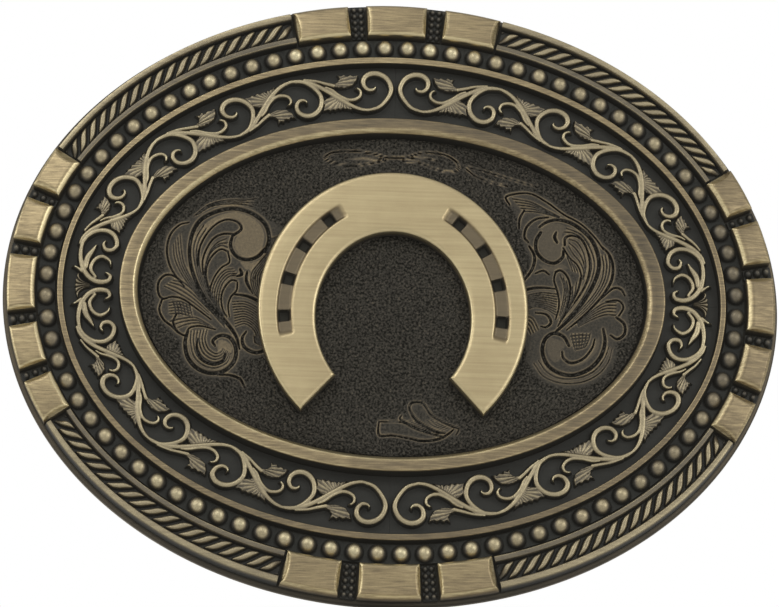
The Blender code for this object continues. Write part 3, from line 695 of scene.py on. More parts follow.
def add_rope(quarter):
    """Slanted, S-shaped strands of one length of rope, raised from its own dark bed."""
    node = "rope_" + quarter
    start, end = angle_span("rope_channel_" + quarter)
    outer = between(RIM_OUTER, RIM_INNER, 0.285)
    inner = between(RIM_OUTER, RIM_INNER, 0.775)
    middle = (outer + inner) / 2.0
    length = length_between(middle, start, end)
    pitch = length / round(length / ROPE_PITCH)
    rows = int(length / (0.085 * MM))
    angles = even_angles(middle, start, end, rows)[:, None]
    s = np.linspace(0.0, length, rows)[:, None]
    across = np.linspace(0.0, 1.0, 34)[None, :]
    half = np.hypot(*(outer - inner)) / math.sqrt(2.0) / 2.0
    w = (1.0 - 2.0 * across) * half
    lean = 1.05 * w + 0.22 * half * (w / half) ** 3
    phase = ((s + lean) / pitch) % 1.0 - 0.5
    away = np.abs(phase) * pitch * 0.68
    taper = np.sqrt(np.clip(1.0 - (np.abs(w) / (half * 1.04)) ** 5, 0.0, 1.0))
    ends = ease(np.minimum(s, length - s) / (1.3 * MM))
    radius = STRAND_WIDTH * taper * (0.55 + 0.45 * ends) + 1e-6
    dome = np.sqrt(np.clip(1.0 - (away / radius) ** 3.4, 0.0, 1.0)) * taper
    height = ROPE_FLOOR + 0.12 * MM + dome * STRAND_HEIGHT * (0.35 + 0.65 * ends)
    ovals = between(outer, inner, np.broadcast_to(across, height.shape))
    polish_and_painted_light = 0.15 + 0.56 * ease((dome - 0.35) / 0.4) * (0.35 + 0.65 * ends)
    margin = int(ROPE_MARGIN / length * rows)
    keep = slice(margin, rows - margin)
    grid = oval_points(ovals, np.broadcast_to(angles, height.shape), height)[keep]
    low = ROPE_FLOOR + 0.04 * MM
    add_relief(node, grid, polish_and_painted_light[keep], ROPE_BRASS, "ropes", low=low, sharp=80.0)


def add_bead_border():
    """Ring of round beads on a dark strip, one bead in each cell of the strip."""
    count = BORDER_BEADS
    sides = 24
    middle = (BEAD_OUTER + BEAD_INNER) / 2.0
    lines = even_angles(middle, math.pi / 2.0, 2.5 * math.pi, count + 1)
    corner_turns = np.linspace(0.0, 2.0 * math.pi, sides, endpoint=False) + math.pi / 4.0
    p = np.clip(math.sqrt(2.0) * np.cos(corner_turns), -1.0, 1.0)
    q = np.clip(math.sqrt(2.0) * np.sin(corner_turns), -1.0, 1.0)
    floor = BORDER_FLOOR
    top = top_of("bead_border")
    radius = BORDER_BEAD_RADIUS
    domes = np.radians((88.0, 76.0, 62.0, 48.0, 35.0, 22.0, 10.0))
    rings = [(1.03, floor)]
    for dome in domes:
        rings.append((math.sin(dome), top - radius * (1.0 - math.cos(dome))))
    points = []
    polish_and_painted_light = []
    faces = []
    for i in range(count):
        turn = (lines[i] + lines[i + 1]) / 2.0
        half_turn = (lines[i + 1] - lines[i]) / 2.0
        # Painted shade: beads are painted darker towards the left and right ends of the oval, most
        # on the right.
        side_shade = 1.03 - 0.30 * abs(math.cos(turn)) ** 3 - 0.07 * math.cos(turn)
        first = len(points)
        ovals = between(BEAD_OUTER, BEAD_INNER, (1.0 - q) / 2.0)
        points += oval_points(ovals, turn + p * half_turn, floor).tolist()
        polish_and_painted_light += [0.02] * sides
        centre = oval_points(middle, turn, 0.0)
        along = np.array((-middle[0] * math.sin(turn), 0.0, middle[1] * math.cos(turn)))
        along /= np.linalg.norm(along)
        out = np.array((along[2], 0.0, -along[0]))
        for share, height in rings:
            ring = centre + radius * share * (
                np.cos(corner_turns)[:, None] * along + np.sin(corner_turns)[:, None] * out
            )
            aside = (ring - centre) / radius
            # Each bead's bright spot is partly crown wear and partly a painted highlight: an
            # upright oval, the same way up on every bead.
            away = np.hypot(aside[:, 0] * 1.2, aside[:, 2] * 0.85)
            ring[:, 1] = front(height)
            points += ring.tolist()
            worn_and_painted_light = 0.08 + 0.24 * (share < 0.97) + 0.50 * ease((0.95 - away) / 0.45)
            polish_and_painted_light += (worn_and_painted_light * side_shade).tolist()
        points.append([centre[0], front(top), centre[2]])
        polish_and_painted_light.append(0.82 * side_shade)
        for level in range(len(rings)):
            here = first + level * sides
            for k in range(sides):
                following = (k + 1) % sides
                above = here + sides
                faces.append((here + k, here + following, above + following, above + k))
        crown = first + len(rings) * sides
        for k in range(sides):
            faces.append((crown + k, crown + (k + 1) % sides, len(points) - 1))
    points, polish_and_painted_light, faces = welded(points, polish_and_painted_light, faces)
    points, polish_and_painted_light, faces = closed_below(points, polish_and_painted_light, faces, SEAM)
    add_piece("bead_border", points, faces, polish_and_painted_light, BEAD_BRASS, "beads", sharp=80.0)


def welded(points, polish_and_painted_light, faces):
    """Points that share a place made into one."""
    keys = np.round(np.asarray(points) / (0.002 * MM)).astype(np.int64)
    _, kept, back = np.unique(keys, axis=0, return_index=True, return_inverse=True)
    back = back.ravel().tolist()
    faces = [[back[i] for i in face] for face in faces]
    return np.asarray(points)[kept], np.asarray(polish_and_painted_light)[kept], faces


def closed_below(points, polish_and_painted_light, faces, low):
    """Open strip closed by walls from its two edges and an underside at the height low."""
    used = set()
    for face in faces:
        for a, b in zip(face, face[1:] + face[:1]):
            used.add((a, b))
    after = {b: a for a, b in used if (b, a) not in used}
    loops = []
    left = dict(after)
    while left:
        first, step = next(iter(left.items()))
        loop = []
        while step in left or step == first:
            loop.append(step)
            step = left.pop(step, None)
            if step is None or step == loop[0]:
                break
        loops.append(loop)
    base = len(points)
    under = np.concatenate([np.asarray(points)[loop] for loop in loops])
    under[:, 1] = front(low)
    polish_and_painted_light = np.concatenate((polish_and_painted_light, np.full(len(under), 0.03)))
    size = len(loops[0])
    for number, loop in enumerate(loops):
        start = base + number * size
        for k in range(size):
            following = (k + 1) % size
            faces.append([loop[k], loop[following], start + following, start + k])
    turns = []
    for loop in loops:
        round_oval = np.asarray(points)[loop][:, (0, 2)] / BEAD_OUTER
        turns.append(np.unwrap(np.arctan2(round_oval[:, 1], round_oval[:, 0])))
    match = int(np.argmin(np.abs(np.exp(1j * turns[1]) - np.exp(1j * turns[0][0]))))
    same_way = (turns[0][-1] - turns[0][0]) * (turns[1][-1] - turns[1][0]) > 0.0
    direction = 1 if same_way else -1
    for k in range(size):
        a = base + k
        b = base + (k + 1) % size
        c = base + size + (match + direction * (k + 1)) % size
        d = base + size + (match + direction * k) % size
        faces.append([b, a, d, c])
    return np.concatenate((points, under)), polish_and_painted_light, faces


# ---- Scroll band ----

BAND_HALF = 3.75
BAND_MIDDLE = (WIDE_OUTER + NARROW_INNER) / 2.0
QUARTER = length_between(BAND_MIDDLE, 0.0, math.pi / 2.0) / MM
SCROLL_FLOOR = 0.45 * MM
# How far the scroll is moved out from the band's middle, in millimetres
UPPER_SCROLL_OUT = 0.22
LOWER_SCROLL_OUT = -0.12
# Places where the stem turns from the top of the oval to its end, as shares of a quarter
STEM_TURNS = (0.070, 0.245, 0.418, 0.590, 0.760, 0.900)
STEM_SWING = 2.45
# How much shorter the leaves of the last unit are
LAST_STRETCH = 0.74


def placed(points, start, side, stretch=1.0):
    """Points of a unit of the scroll moved along the band, and turned over for a trough."""
    return [(start + stretch * x, side * z, *rest) for x, z, *rest in points]


def stem_path():
    """Waving stem from the first trough to the last crest."""
    places = [share * QUARTER for share in STEM_TURNS]
    path = []
    for number in range(len(places) - 1):
        side = 1.0 if number % 2 else -1.0
        for share in np.linspace(0.0, 1.0, 12, endpoint=False):
            swing = side * STEM_SWING * math.cos(math.pi * share)
            radius = 0.27 + 0.10 * math.sin(math.pi * share)
            place = places[number] + share * (places[number + 1] - places[number])
            path.append((place, swing, radius))
    path.append((places[-1], STEM_SWING, 0.24))
    return path


# One unit of the scroll: strokes as (along, outwards, radius) and leaf outlines, in millimetres
SPIRAL = (
    (0.6, 2.42, 0.2), (0.0, 2.45, 0.27), (-1.53, 2.0, 0.31), (-2.7, 0.75, 0.34),
    (-3.08, -0.45, 0.37), (-2.56, -1.68, 0.39), (-1.53, -2.36, 0.41), (-0.42, -2.34, 0.41),
    (0.32, -1.71, 0.38), (0.36, -0.85, 0.34), (-0.12, -0.28, 0.3), (-0.72, -0.24, 0.24),
    (-1.06, -0.52, 0.16), (-1.0, -0.84, 0.05),
)
TENDRIL = (
    (5.2, -1.0, 0.16), (4.5, -0.55, 0.22), (3.67, 0.28, 0.25), (2.67, 0.9, 0.27),
    (1.83, 0.97, 0.28), (1.05, 0.6, 0.27), (0.85, 0.0, 0.24), (1.15, -0.42, 0.18),
    (1.5, -0.5, 0.08),
)
LEAF_STALK = ((4.2, -1.1, 0.3), (5.2, -1.5, 0.28), (6.3, -2.0, 0.24), (7.6, -2.4, 0.2))
TULIP = (
    (1.75, -0.97), (2.67, -0.7), (3.5, -0.76), (4.33, -0.97), (5.2, -1.4), (4.5, -1.42),
    (3.75, -1.5), (3.35, -1.95), (3.5, -2.62), (3.05, -2.3), (2.7, -2.52), (2.35, -2.22),
    (1.9, -2.42), (1.6, -2.18), (0.95, -2.35), (1.2, -1.6),
)
FAN = (
    (2.5, 1.75), (2.1, 2.45), (2.95, 2.1), (3.2, 2.2), (3.45, 1.95), (3.85, 2.2), (4.1, 1.98),
    (4.5, 2.25), (4.8, 2.0), (5.2, 2.25), (5.5, 1.98), (6.25, 2.1), (5.9, 1.4), (5.8, 0.75),
    (5.2, 0.3), (4.4, 0.15), (3.7, 0.6),
)
# Strokes of the last scroll, counted back from the end of the oval
END_SPIRAL = (
    (-5.2, 2.15, 0.28), (-6.3, 1.75, 0.32), (-7.3, 0.8, 0.34), (-7.7, -0.46, 0.36),
    (-7.3, -1.65, 0.38), (-6.2, -2.34, 0.38), (-5.3, -1.96, 0.36), (-5.2, -1.1, 0.32),
    (-5.8, -0.62, 0.25), (-6.35, -0.75, 0.1),
)
END_STEM = (
    (-5.6, 2.1, 0.3), (-4.6, 2.1, 0.34), (-3.4, 1.85, 0.38), (-2.1, 1.25, 0.4), (-1.0, 0.2, 0.4),
    (-0.55, -1.0, 0.4), (-0.75, -2.2, 0.38), (-1.5, -2.45, 0.3), (-1.95, -1.75, 0.1),
)
END_LEAF = ((-5.6, 0.2, 0.06), (-4.7, 0.5, 0.32), (-3.6, 0.95, 0.46), (-2.4, 0.95, 0.36))
END_CURL = (
    (-2.9, -2.35, 0.08), (-3.7, -2.0, 0.24), (-4.1, -0.9, 0.3), (-3.4, 0.0, 0.32),
    (-2.2, 0.25, 0.32), (-1.2, -0.5, 0.26),
)
END_SPUR = ((-2.3, 2.75, 0.06), (-2.2, 2.2, 0.17), (-1.8, 1.4, 0.28))


def scroll_relief():
    """Relief of one quarter of the scroll band: x along it from the top, z out from its middle."""
    relief = Relief((0.0, -BAND_HALF), (QUARTER, BAND_HALF), 0.05)
    for number, share in enumerate(STEM_TURNS[:-1]):
        start = share * QUARTER
        side = 1.0 if number % 2 else -1.0
        stretch = 1.0 if number < len(STEM_TURNS) - 2 else LAST_STRETCH
        for outline, base, veins in ((TULIP, (5.0, -1.3), 34.0), (FAN, (3.2, 0.4), 26.0)):
            foot = placed((base,), start, side, stretch)[0]
            relief.leaf(placed(outline, start, side, stretch), foot, veins, 0.5)
        for stroke in (TENDRIL, LEAF_STALK):
            relief.raise_stroke(curve(placed(stroke, start, side, stretch)))
    relief.raise_stroke(curve(stem_path()))
    for number, share in enumerate(STEM_TURNS[:-1]):
        side = 1.0 if number % 2 else -1.0
        relief.raise_stroke(curve(placed(SPIRAL, share * QUARTER, side)))
    for stroke in (END_SPIRAL, END_STEM, END_LEAF, END_CURL, END_SPUR):
        relief.raise_stroke(curve(placed(stroke, QUARTER, 1.0)))
    return relief


def add_scrolls():
    """Scroll band of each quarter: the same relief, turned over for the other quarters."""
    relief = scroll_relief()
    ridge = ease((relief.edge + 0.07) / 0.15)
    body = ridge * (0.74 + 0.26 * relief.crown)
    rise = top_of("scroll_upper_right") - SCROLL_FLOOR
    rim = np.clip(body - blurred(body, 8), -0.3, 0.3)
    leaf_edge = np.clip(1.0 - relief.edge / 0.2, 0.0, 1.0)
    leaf_wear = 0.32 + 0.32 * ease((relief.crown - 0.1) / 0.6) + 0.30 * leaf_edge
    wear = 0.55 * body * ridge + 0.95 * np.clip(rim, 0.0, 0.3) + 0.12 * relief.crown ** 3
    wear = 0.08 + ridge * (wear * (1.0 - relief.shade) + leaf_wear * relief.shade)
    rows = 640
    angles = even_angles(BAND_MIDDLE, math.pi / 2.0 - 0.0003, 0.0003, rows)[:, None]
    along = np.linspace(0.0, QUARTER, rows)[:, None]
    across = np.linspace(0.015, 0.985, 92)[None, :]
    shape = (rows, across.shape[1])
    ovals = between(WIDE_OUTER, NARROW_INNER, np.broadcast_to(across, shape))
    for quarter in QUARTERS:
        upper = quarter.startswith("upper")
        turned = (1.0 if quarter.endswith("right") else -1.0, 1.0, 1.0 if upper else -1.0)
        moved = (UPPER_SCROLL_OUT if upper else LOWER_SCROLL_OUT) * np.sin(angles)
        places = (np.broadcast_to(along, shape), (2.0 * across - 1.0) * BAND_HALF - moved)
        height = SCROLL_FLOOR + rise * relief.sample(body, *places)
        grid = oval_points(ovals, np.broadcast_to(angles, shape), height) * turned
        polish_and_painted_light = relief.sample(wear, *places)
        add_relief("scroll_" + quarter, grid, polish_and_painted_light, SCROLL_BRASS, "scrolls", sharp=80.0)


def add_palmette(node, side):
    """Flared fan with pointed corners, a toothed outer edge and veins."""
    root = NARROW_INNER[0] / MM - 3.35
    spread = 1.15
    turns = np.linspace(-spread, spread, 71)[:, None]
    reach = np.linspace(0.0, 1.0, 26)[None, :]
    teeth = np.abs(np.cos(turns * 6.8))
    tip = 1.75 + 0.16 * teeth ** 0.6 + 0.55 * np.abs(turns) ** 2
    pinch = 0.30 + 0.62 * reach ** 1.5
    x = side * (root + tip * reach * np.cos(turns * pinch))
    z = tip * reach * np.sin(turns * pinch) * 0.85 + 0.22 * turns * (1.0 - reach)
    edge = np.minimum(1.0 - reach, reach * 0.6 + 0.1) * tip
    edge = np.minimum(edge, (spread - np.abs(turns)) * (0.3 + reach))
    low = SCROLL_FLOOR + 0.02 * MM
    rise = top_of(node) - low
    body = ease((edge + 0.08) / 0.22) * (0.62 + 0.38 * teeth ** 0.5)
    grid = np.stack(np.broadcast_arrays(x * MM, front(low + rise * body), z * MM), axis=-1)
    polish_and_painted_light = 0.10 + 0.46 * body + 0.25 * body * reach ** 6
    add_relief(node, grid, polish_and_painted_light, SCROLL_BRASS, "scrolls", low=low, sharp=70.0)


# ---- Centre panel: stippled ground and engraved plumes, drawn in millimetres from the centre ----

LEFT_BODY = (
    (-16.0, 9.6), (-18.0, 11.2), (-21.0, 11.9), (-24.0, 10.9), (-26.4, 9.6), (-28.9, 7.7),
    (-29.4, 5.0), (-29.0, 2.6), (-30.3, 1.3), (-30.4, -0.8), (-29.9, -3.2), (-28.7, -5.3),
    (-27.0, -6.8), (-26.6, -9.2), (-25.0, -11.2), (-22.6, -11.9), (-20.2, -11.3), (-19.0, -9.2),
    (-17.0, -8.9), (-15.0, -7.9), (-14.1, -5.8), (-14.5, -3.0), (-14.3, 0.0), (-15.0, 2.5),
    (-14.0, 5.0), (-13.9, 7.8), (-14.8, 9.2),
)
LEFT_GROOVES = (
    ((-16.3, 5.4, 0.3), (-15.9, 7.1, 0.33), (-16.4, 9.0, 0.35), (-17.8, 10.3, 0.35),
     (-19.6, 11.0, 0.34), (-21.4, 11.0, 0.34), (-23.2, 10.4, 0.34), (-24.7, 9.4, 0.34),
     (-25.6, 7.9, 0.32), (-26.0, 5.9, 0.28), (-25.9, 3.8, 0.28), (-25.3, 1.6, 0.3),
     (-24.2, -0.6, 0.32), (-22.6, -2.7, 0.32), (-21.0, -4.4, 0.3), (-19.8, -6.1, 0.24),
     (-19.3, -7.8, 0.12)),
    ((-20.6, 7.4, 0.2), (-20.8, 6.0, 0.28), (-20.1, 4.7, 0.28), (-18.8, 4.2, 0.28),
     (-17.4, 4.6, 0.28), (-16.4, 5.7, 0.28)),
    ((-20.4, 7.5, 0.22), (-19.5, 8.3, 0.2), (-19.8, 9.1, 0.17), (-20.6, 9.5, 0.15),
     (-21.6, 9.5, 0.14), (-22.7, 8.9, 0.14), (-23.7, 7.8, 0.14), (-24.5, 6.3, 0.13),
     (-24.9, 4.7, 0.12), (-24.9, 3.2, 0.1)),
    ((-20.3, 7.6, 0.16), (-21.7, 7.6, 0.17), (-22.9, 7.0, 0.16), (-23.8, 5.6, 0.15),
     (-24.3, 3.9, 0.12), (-24.2, 2.0, 0.1)),
    ((-21.1, 5.2, 0.14), (-22.0, 5.5, 0.14), (-23.0, 4.7, 0.14), (-23.7, 3.3, 0.13),
     (-23.8, 1.7, 0.12), (-23.4, -0.2, 0.1)),
    ((-21.1, 5.1, 0.12), (-20.9, 3.8, 0.13), (-21.9, 3.0, 0.13), (-22.7, 1.8, 0.12),
     (-23.2, 0.3, 0.12), (-23.2, -1.0, 0.08)),
    ((-19.9, 1.3, 0.13), (-20.6, 1.35, 0.14), (-21.4, 0.4, 0.14), (-21.8, -0.9, 0.13),
     (-21.6, -2.5, 0.12), (-21.0, -3.6, 0.08)),
    ((-19.8, 1.1, 0.13), (-19.9, 0.0, 0.13), (-20.6, -0.9, 0.13), (-20.9, -2.1, 0.12),
     (-20.7, -3.6, 0.08)),
    ((-26.2, 9.0, 0.1), (-27.4, 8.6, 0.14), (-28.5, 7.3, 0.15), (-28.9, 5.4, 0.15),
     (-28.6, 3.5, 0.15), (-27.8, 1.9, 0.14), (-26.5, 0.3, 0.1)),
    ((-26.8, 0.9, 0.13), (-27.9, 1.7, 0.16), (-29.0, 1.75, 0.17), (-29.8, 0.8, 0.17),
     (-29.8, -0.6, 0.16), (-29.2, -1.4, 0.15), (-28.0, -1.1, 0.14), (-26.6, -1.4, 0.14),
     (-25.0, -2.5, 0.13), (-23.0, -4.0, 0.1)),
    ((-29.3, -1.5, 0.14), (-29.6, -2.9, 0.16), (-29.0, -4.2, 0.16), (-28.0, -5.0, 0.16),
     (-27.1, -5.9, 0.14)),
    ((-27.4, -3.4, 0.13), (-27.8, -4.5, 0.15), (-27.2, -5.7, 0.15), (-26.2, -6.2, 0.14),
     (-25.7, -5.2, 0.13), (-24.3, -4.9, 0.13), (-22.4, -5.3, 0.1)),
    ((-25.9, -5.6, 0.2), (-26.2, -7.2, 0.3), (-25.8, -9.1, 0.33), (-24.6, -10.5, 0.33),
     (-22.9, -11.1, 0.33), (-21.1, -10.7, 0.33), (-19.9, -9.3, 0.33), (-19.8, -7.6, 0.32),
     (-20.6, -6.3, 0.3), (-21.8, -6.1, 0.28), (-22.7, -6.8, 0.24), (-22.4, -7.5, 0.15)),
    ((-24.6, -6.6, 0.12), (-24.7, -8.0, 0.16), (-23.9, -9.4, 0.22), (-22.5, -9.9, 0.24),
     (-21.4, -9.4, 0.22), (-21.1, -8.5, 0.16)),
    ((-20.1, -0.5, 0.16), (-18.2, -0.8, 0.24), (-16.3, -1.9, 0.28), (-14.9, -3.7, 0.28),
     (-14.5, -5.6, 0.28), (-15.4, -7.3, 0.28), (-17.1, -8.2, 0.28), (-18.6, -7.6, 0.28),
     (-19.0, -6.4, 0.22), (-18.5, -5.4, 0.12)),
    ((-19.5, 2.9, 0.2), (-19.3, 2.2, 0.26), (-19.9, 1.9, 0.12)),
    ((-18.6, 2.6, 0.15), (-18.7, 1.5, 0.24), (-18.3, 0.5, 0.2), (-17.8, -0.3, 0.1)),
    ((-22.0, -11.3, 0.12), (-20.4, -11.3, 0.18), (-19.1, -11.8, 0.2), (-18.6, -12.8, 0.14)),
)
# Families of fine lines: two guide paths with the same number of points, and how many lines run
# between them
LEFT_HATCH = (
    (((-24.3, 8.7), (-25.1, 7.2), (-25.5, 5.5), (-25.3, 3.6), (-24.7, 1.4), (-23.7, -0.7),
      (-22.3, -2.7)),
     ((-23.7, 7.8), (-24.5, 6.3), (-24.8, 4.9), (-24.7, 3.2), (-24.2, 1.3), (-23.3, -0.6),
      (-22.1, -2.5)),
     3),
    (((-28.0, 1.1), (-26.6, 0.8), (-25.0, -0.5), (-23.2, -2.5)),
     ((-29.1, 0.3), (-27.4, -0.5), (-25.4, -1.7), (-23.3, -3.4)),
     4),
    (((-28.2, -4.4), (-26.8, -4.0), (-25.0, -3.8), (-23.2, -4.7)),
     ((-27.2, -5.2), (-26.0, -4.7), (-24.5, -4.5), (-22.8, -5.0)),
     3),
    (((-21.3, 7.0), (-22.6, 6.3), (-23.5, 4.9), (-23.9, 3.0), (-23.6, 0.9), (-22.7, -1.3),
      (-21.3, -3.4)),
     ((-21.2, 5.8), (-22.1, 6.0), (-23.3, 5.0), (-23.9, 3.2), (-24.0, 1.2), (-23.2, -1.0),
      (-21.6, -3.4)),
     3),
    (((-20.4, 2.9), (-21.4, 2.7), (-22.3, 1.7), (-22.9, 0.1), (-22.8, -1.6), (-21.9, -3.4)),
     ((-19.7, 2.0), (-20.8, 1.9), (-21.7, 0.9), (-22.1, -0.8), (-22.0, -2.4), (-21.2, -4.0)),
     4),
    (((-28.1, 5.9), (-27.9, 4.2), (-27.2, 2.5), (-26.1, 0.8), (-24.6, -1.1), (-22.8, -3.2),
      (-21.2, -5.0)),
     ((-27.3, 7.4), (-27.1, 5.6), (-26.7, 3.5), (-25.8, 1.6), (-24.6, -0.4), (-23.0, -2.5),
      (-21.3, -4.5)),
     4),
    (((-25.5, -5.6), (-25.5, -7.2), (-25.0, -9.0), (-23.8, -10.1), (-22.3, -10.4), (-20.9, -9.7),
      (-20.4, -8.4)),
     ((-23.5, -5.4), (-23.7, -6.6), (-23.3, -7.8), (-22.6, -8.4), (-22.1, -8.5), (-21.6, -8.2),
      (-21.4, -7.8)),
     6),
    (((-14.4, 7.6), (-14.6, 5.6), (-15.4, 3.9), (-16.3, 2.3), (-16.4, 0.8), (-15.8, -0.9),
      (-14.8, -2.6)),
     ((-15.6, 7.2), (-16.0, 5.3), (-17.0, 3.9), (-18.0, 2.4), (-18.0, 0.9), (-17.4, -0.5),
      (-16.2, -1.6)),
     7),
    (((-20.4, -1.5), (-18.6, -1.5), (-16.7, -2.6), (-15.4, -4.3), (-15.2, -6.0), (-16.2, -7.2),
      (-17.4, -6.9)),
     ((-19.9, -4.8), (-18.8, -4.4), (-17.9, -4.8), (-17.4, -5.4), (-17.2, -5.9), (-17.3, -6.1),
      (-17.5, -6.0)),
     10),
    (((-25.6, 9.9), (-23.7, 11.5), (-21.4, 12.2), (-19.1, 12.3), (-17.6, 12.6)),
     ((-25.0, 10.2), (-23.4, 11.3), (-21.4, 11.7), (-19.3, 11.7), (-18.0, 11.4)),
     3),
    (((-27.9, -1.7), (-27.6, -2.6), (-27.5, -3.4)),
     ((-25.8, -2.0), (-25.6, -2.9), (-25.4, -3.6)),
     6),
    (((-28.4, -1.9), (-27.0, -1.7), (-25.8, -2.2)),
     ((-28.3, -3.4), (-27.0, -3.3), (-25.6, -3.6)),
     5),
)
RIGHT_BODY = (
    (13.9, 14.4), (17.3, 14.9), (20.0, 13.8), (22.0, 12.1), (24.4, 10.7), (26.3, 8.9), (27.9, 7.0),
    (28.7, 4.8), (28.6, 2.8), (30.0, 1.9), (30.1, -0.6), (30.1, -4.2), (28.7, -5.4), (28.4, -7.9),
    (26.6, -10.2), (24.2, -11.5), (21.5, -11.7), (18.9, -10.7), (17.3, -8.6), (16.6, -6.2),
    (14.2, -6.3), (12.9, -4.4), (12.7, -2.6), (13.6, -0.6), (15.4, 1.0), (16.8, 2.8), (17.5, 4.4),
    (17.4, 5.8), (16.6, 7.4), (16.4, 9.8), (15.6, 11.7),
)
RIGHT_GROOVES = (
    ((18.9, 9.2, 0.24), (18.3, 8.0, 0.27), (18.4, 6.5, 0.27), (19.4, 5.4, 0.27), (20.7, 5.1, 0.27),
     (21.7, 5.9, 0.25), (21.8, 6.8, 0.15)),
    ((18.7, 9.9, 0.16), (19.6, 10.6, 0.22), (21.0, 11.0, 0.26), (22.6, 10.7, 0.3),
     (24.1, 9.8, 0.32), (25.4, 8.5, 0.32), (26.2, 6.7, 0.32), (26.4, 4.8, 0.32), (25.9, 2.9, 0.32),
     (24.9, 0.9, 0.32), (23.6, -1.1, 0.32), (22.2, -2.8, 0.28), (20.8, -4.2, 0.18)),
    ((20.9, 9.3, 0.16), (20.7, 8.6, 0.26), (21.0, 7.9, 0.2)),
    ((22.0, 7.6, 0.2), (22.1, 8.6, 0.2), (23.1, 8.9, 0.16), (24.3, 8.3, 0.15), (24.9, 6.9, 0.14),
     (25.2, 5.2, 0.14), (25.0, 3.4, 0.13), (24.3, 1.6, 0.12), (23.2, -0.2, 0.08)),
    ((21.8, 7.2, 0.14), (22.6, 5.9, 0.12), (23.6, 4.9, 0.12), (24.1, 3.5, 0.12), (23.8, 1.8, 0.12),
     (23.0, 0.0, 0.1), (21.8, -2.0, 0.08)),
    ((20.8, 3.9, 0.16), (21.5, 4.1, 0.17), (22.3, 3.3, 0.17), (22.7, 1.8, 0.16), (22.5, 0.0, 0.15),
     (22.0, -1.7, 0.13), (21.1, -3.4, 0.1)),
    ((20.8, 3.8, 0.13), (20.6, 2.8, 0.14), (20.9, 1.7, 0.14), (21.2, 0.4, 0.13), (21.2, -1.0, 0.12),
     (20.8, -2.5, 0.1)),
    ((20.9, 1.6, 0.1), (18.9, 1.7, 0.2), (17.2, 1.4, 0.24), (15.4, 0.5, 0.25), (14.0, -1.0, 0.26),
     (13.2, -2.7, 0.26), (13.3, -4.4, 0.26), (14.3, -5.7, 0.26), (15.7, -5.8, 0.26),
     (16.5, -4.9, 0.24), (16.1, -4.0, 0.14)),
    ((18.2, -1.7, 0.12), (19.6, -1.9, 0.17), (20.2, -2.9, 0.2), (19.6, -3.6, 0.16),
     (18.9, -3.5, 0.1)),
    ((22.5, -6.0, 0.22), (21.8, -4.8, 0.25), (20.5, -4.4, 0.27), (19.4, -5.3, 0.28),
     (19.1, -7.0, 0.29), (19.8, -8.7, 0.3), (21.3, -9.7, 0.31), (23.1, -9.9, 0.31),
     (25.1, -9.0, 0.31), (26.5, -7.4, 0.3), (27.1, -5.4, 0.28), (26.9, -3.6, 0.2)),
    ((21.6, -6.8, 0.14), (21.8, -7.7, 0.2), (22.8, -8.3, 0.22), (24.3, -7.7, 0.18),
     (25.4, -6.3, 0.15), (25.8, -5.0, 0.1)),
    ((26.7, 7.6, 0.12), (27.7, 6.5, 0.2), (28.2, 4.9, 0.22), (28.0, 3.0, 0.22), (27.0, 1.1, 0.2),
     (25.7, -0.5, 0.18), (24.1, -2.2, 0.16), (22.2, -3.9, 0.1)),
    ((26.8, 0.6, 0.1), (28.2, 1.9, 0.17), (29.2, 1.8, 0.18), (29.7, 1.0, 0.12)),
    ((27.2, 0.1, 0.1), (28.8, 0.3, 0.14), (29.5, -0.6, 0.15), (28.9, -1.8, 0.13)),
    ((28.6, -2.0, 0.2), (29.6, -2.9, 0.22), (29.6, -4.2, 0.22), (28.7, -4.9, 0.2),
     (27.8, -4.4, 0.14)),
    ((19.9, 11.3, 0.12), (18.3, 11.0, 0.17), (17.1, 9.9, 0.18), (16.8, 8.5, 0.18),
     (17.3, 7.8, 0.14)),
    ((17.4, 7.3, 0.15), (18.1, 5.9, 0.22), (17.8, 4.2, 0.22), (16.6, 2.5, 0.18), (14.9, 0.9, 0.12)),
    ((18.2, 3.6, 0.12), (19.2, 4.0, 0.16), (20.0, 3.5, 0.14)),
    ((14.9, 12.8, 0.12), (14.5, 14.0, 0.16), (17.3, 14.5, 0.14), (19.6, 13.4, 0.14),
     (21.8, 11.8, 0.14), (24.1, 10.5, 0.14), (25.9, 8.7, 0.14), (27.0, 7.1, 0.1)),
    ((16.1, 9.6, 0.12), (16.2, 11.0, 0.18), (16.8, 12.2, 0.12)),
)
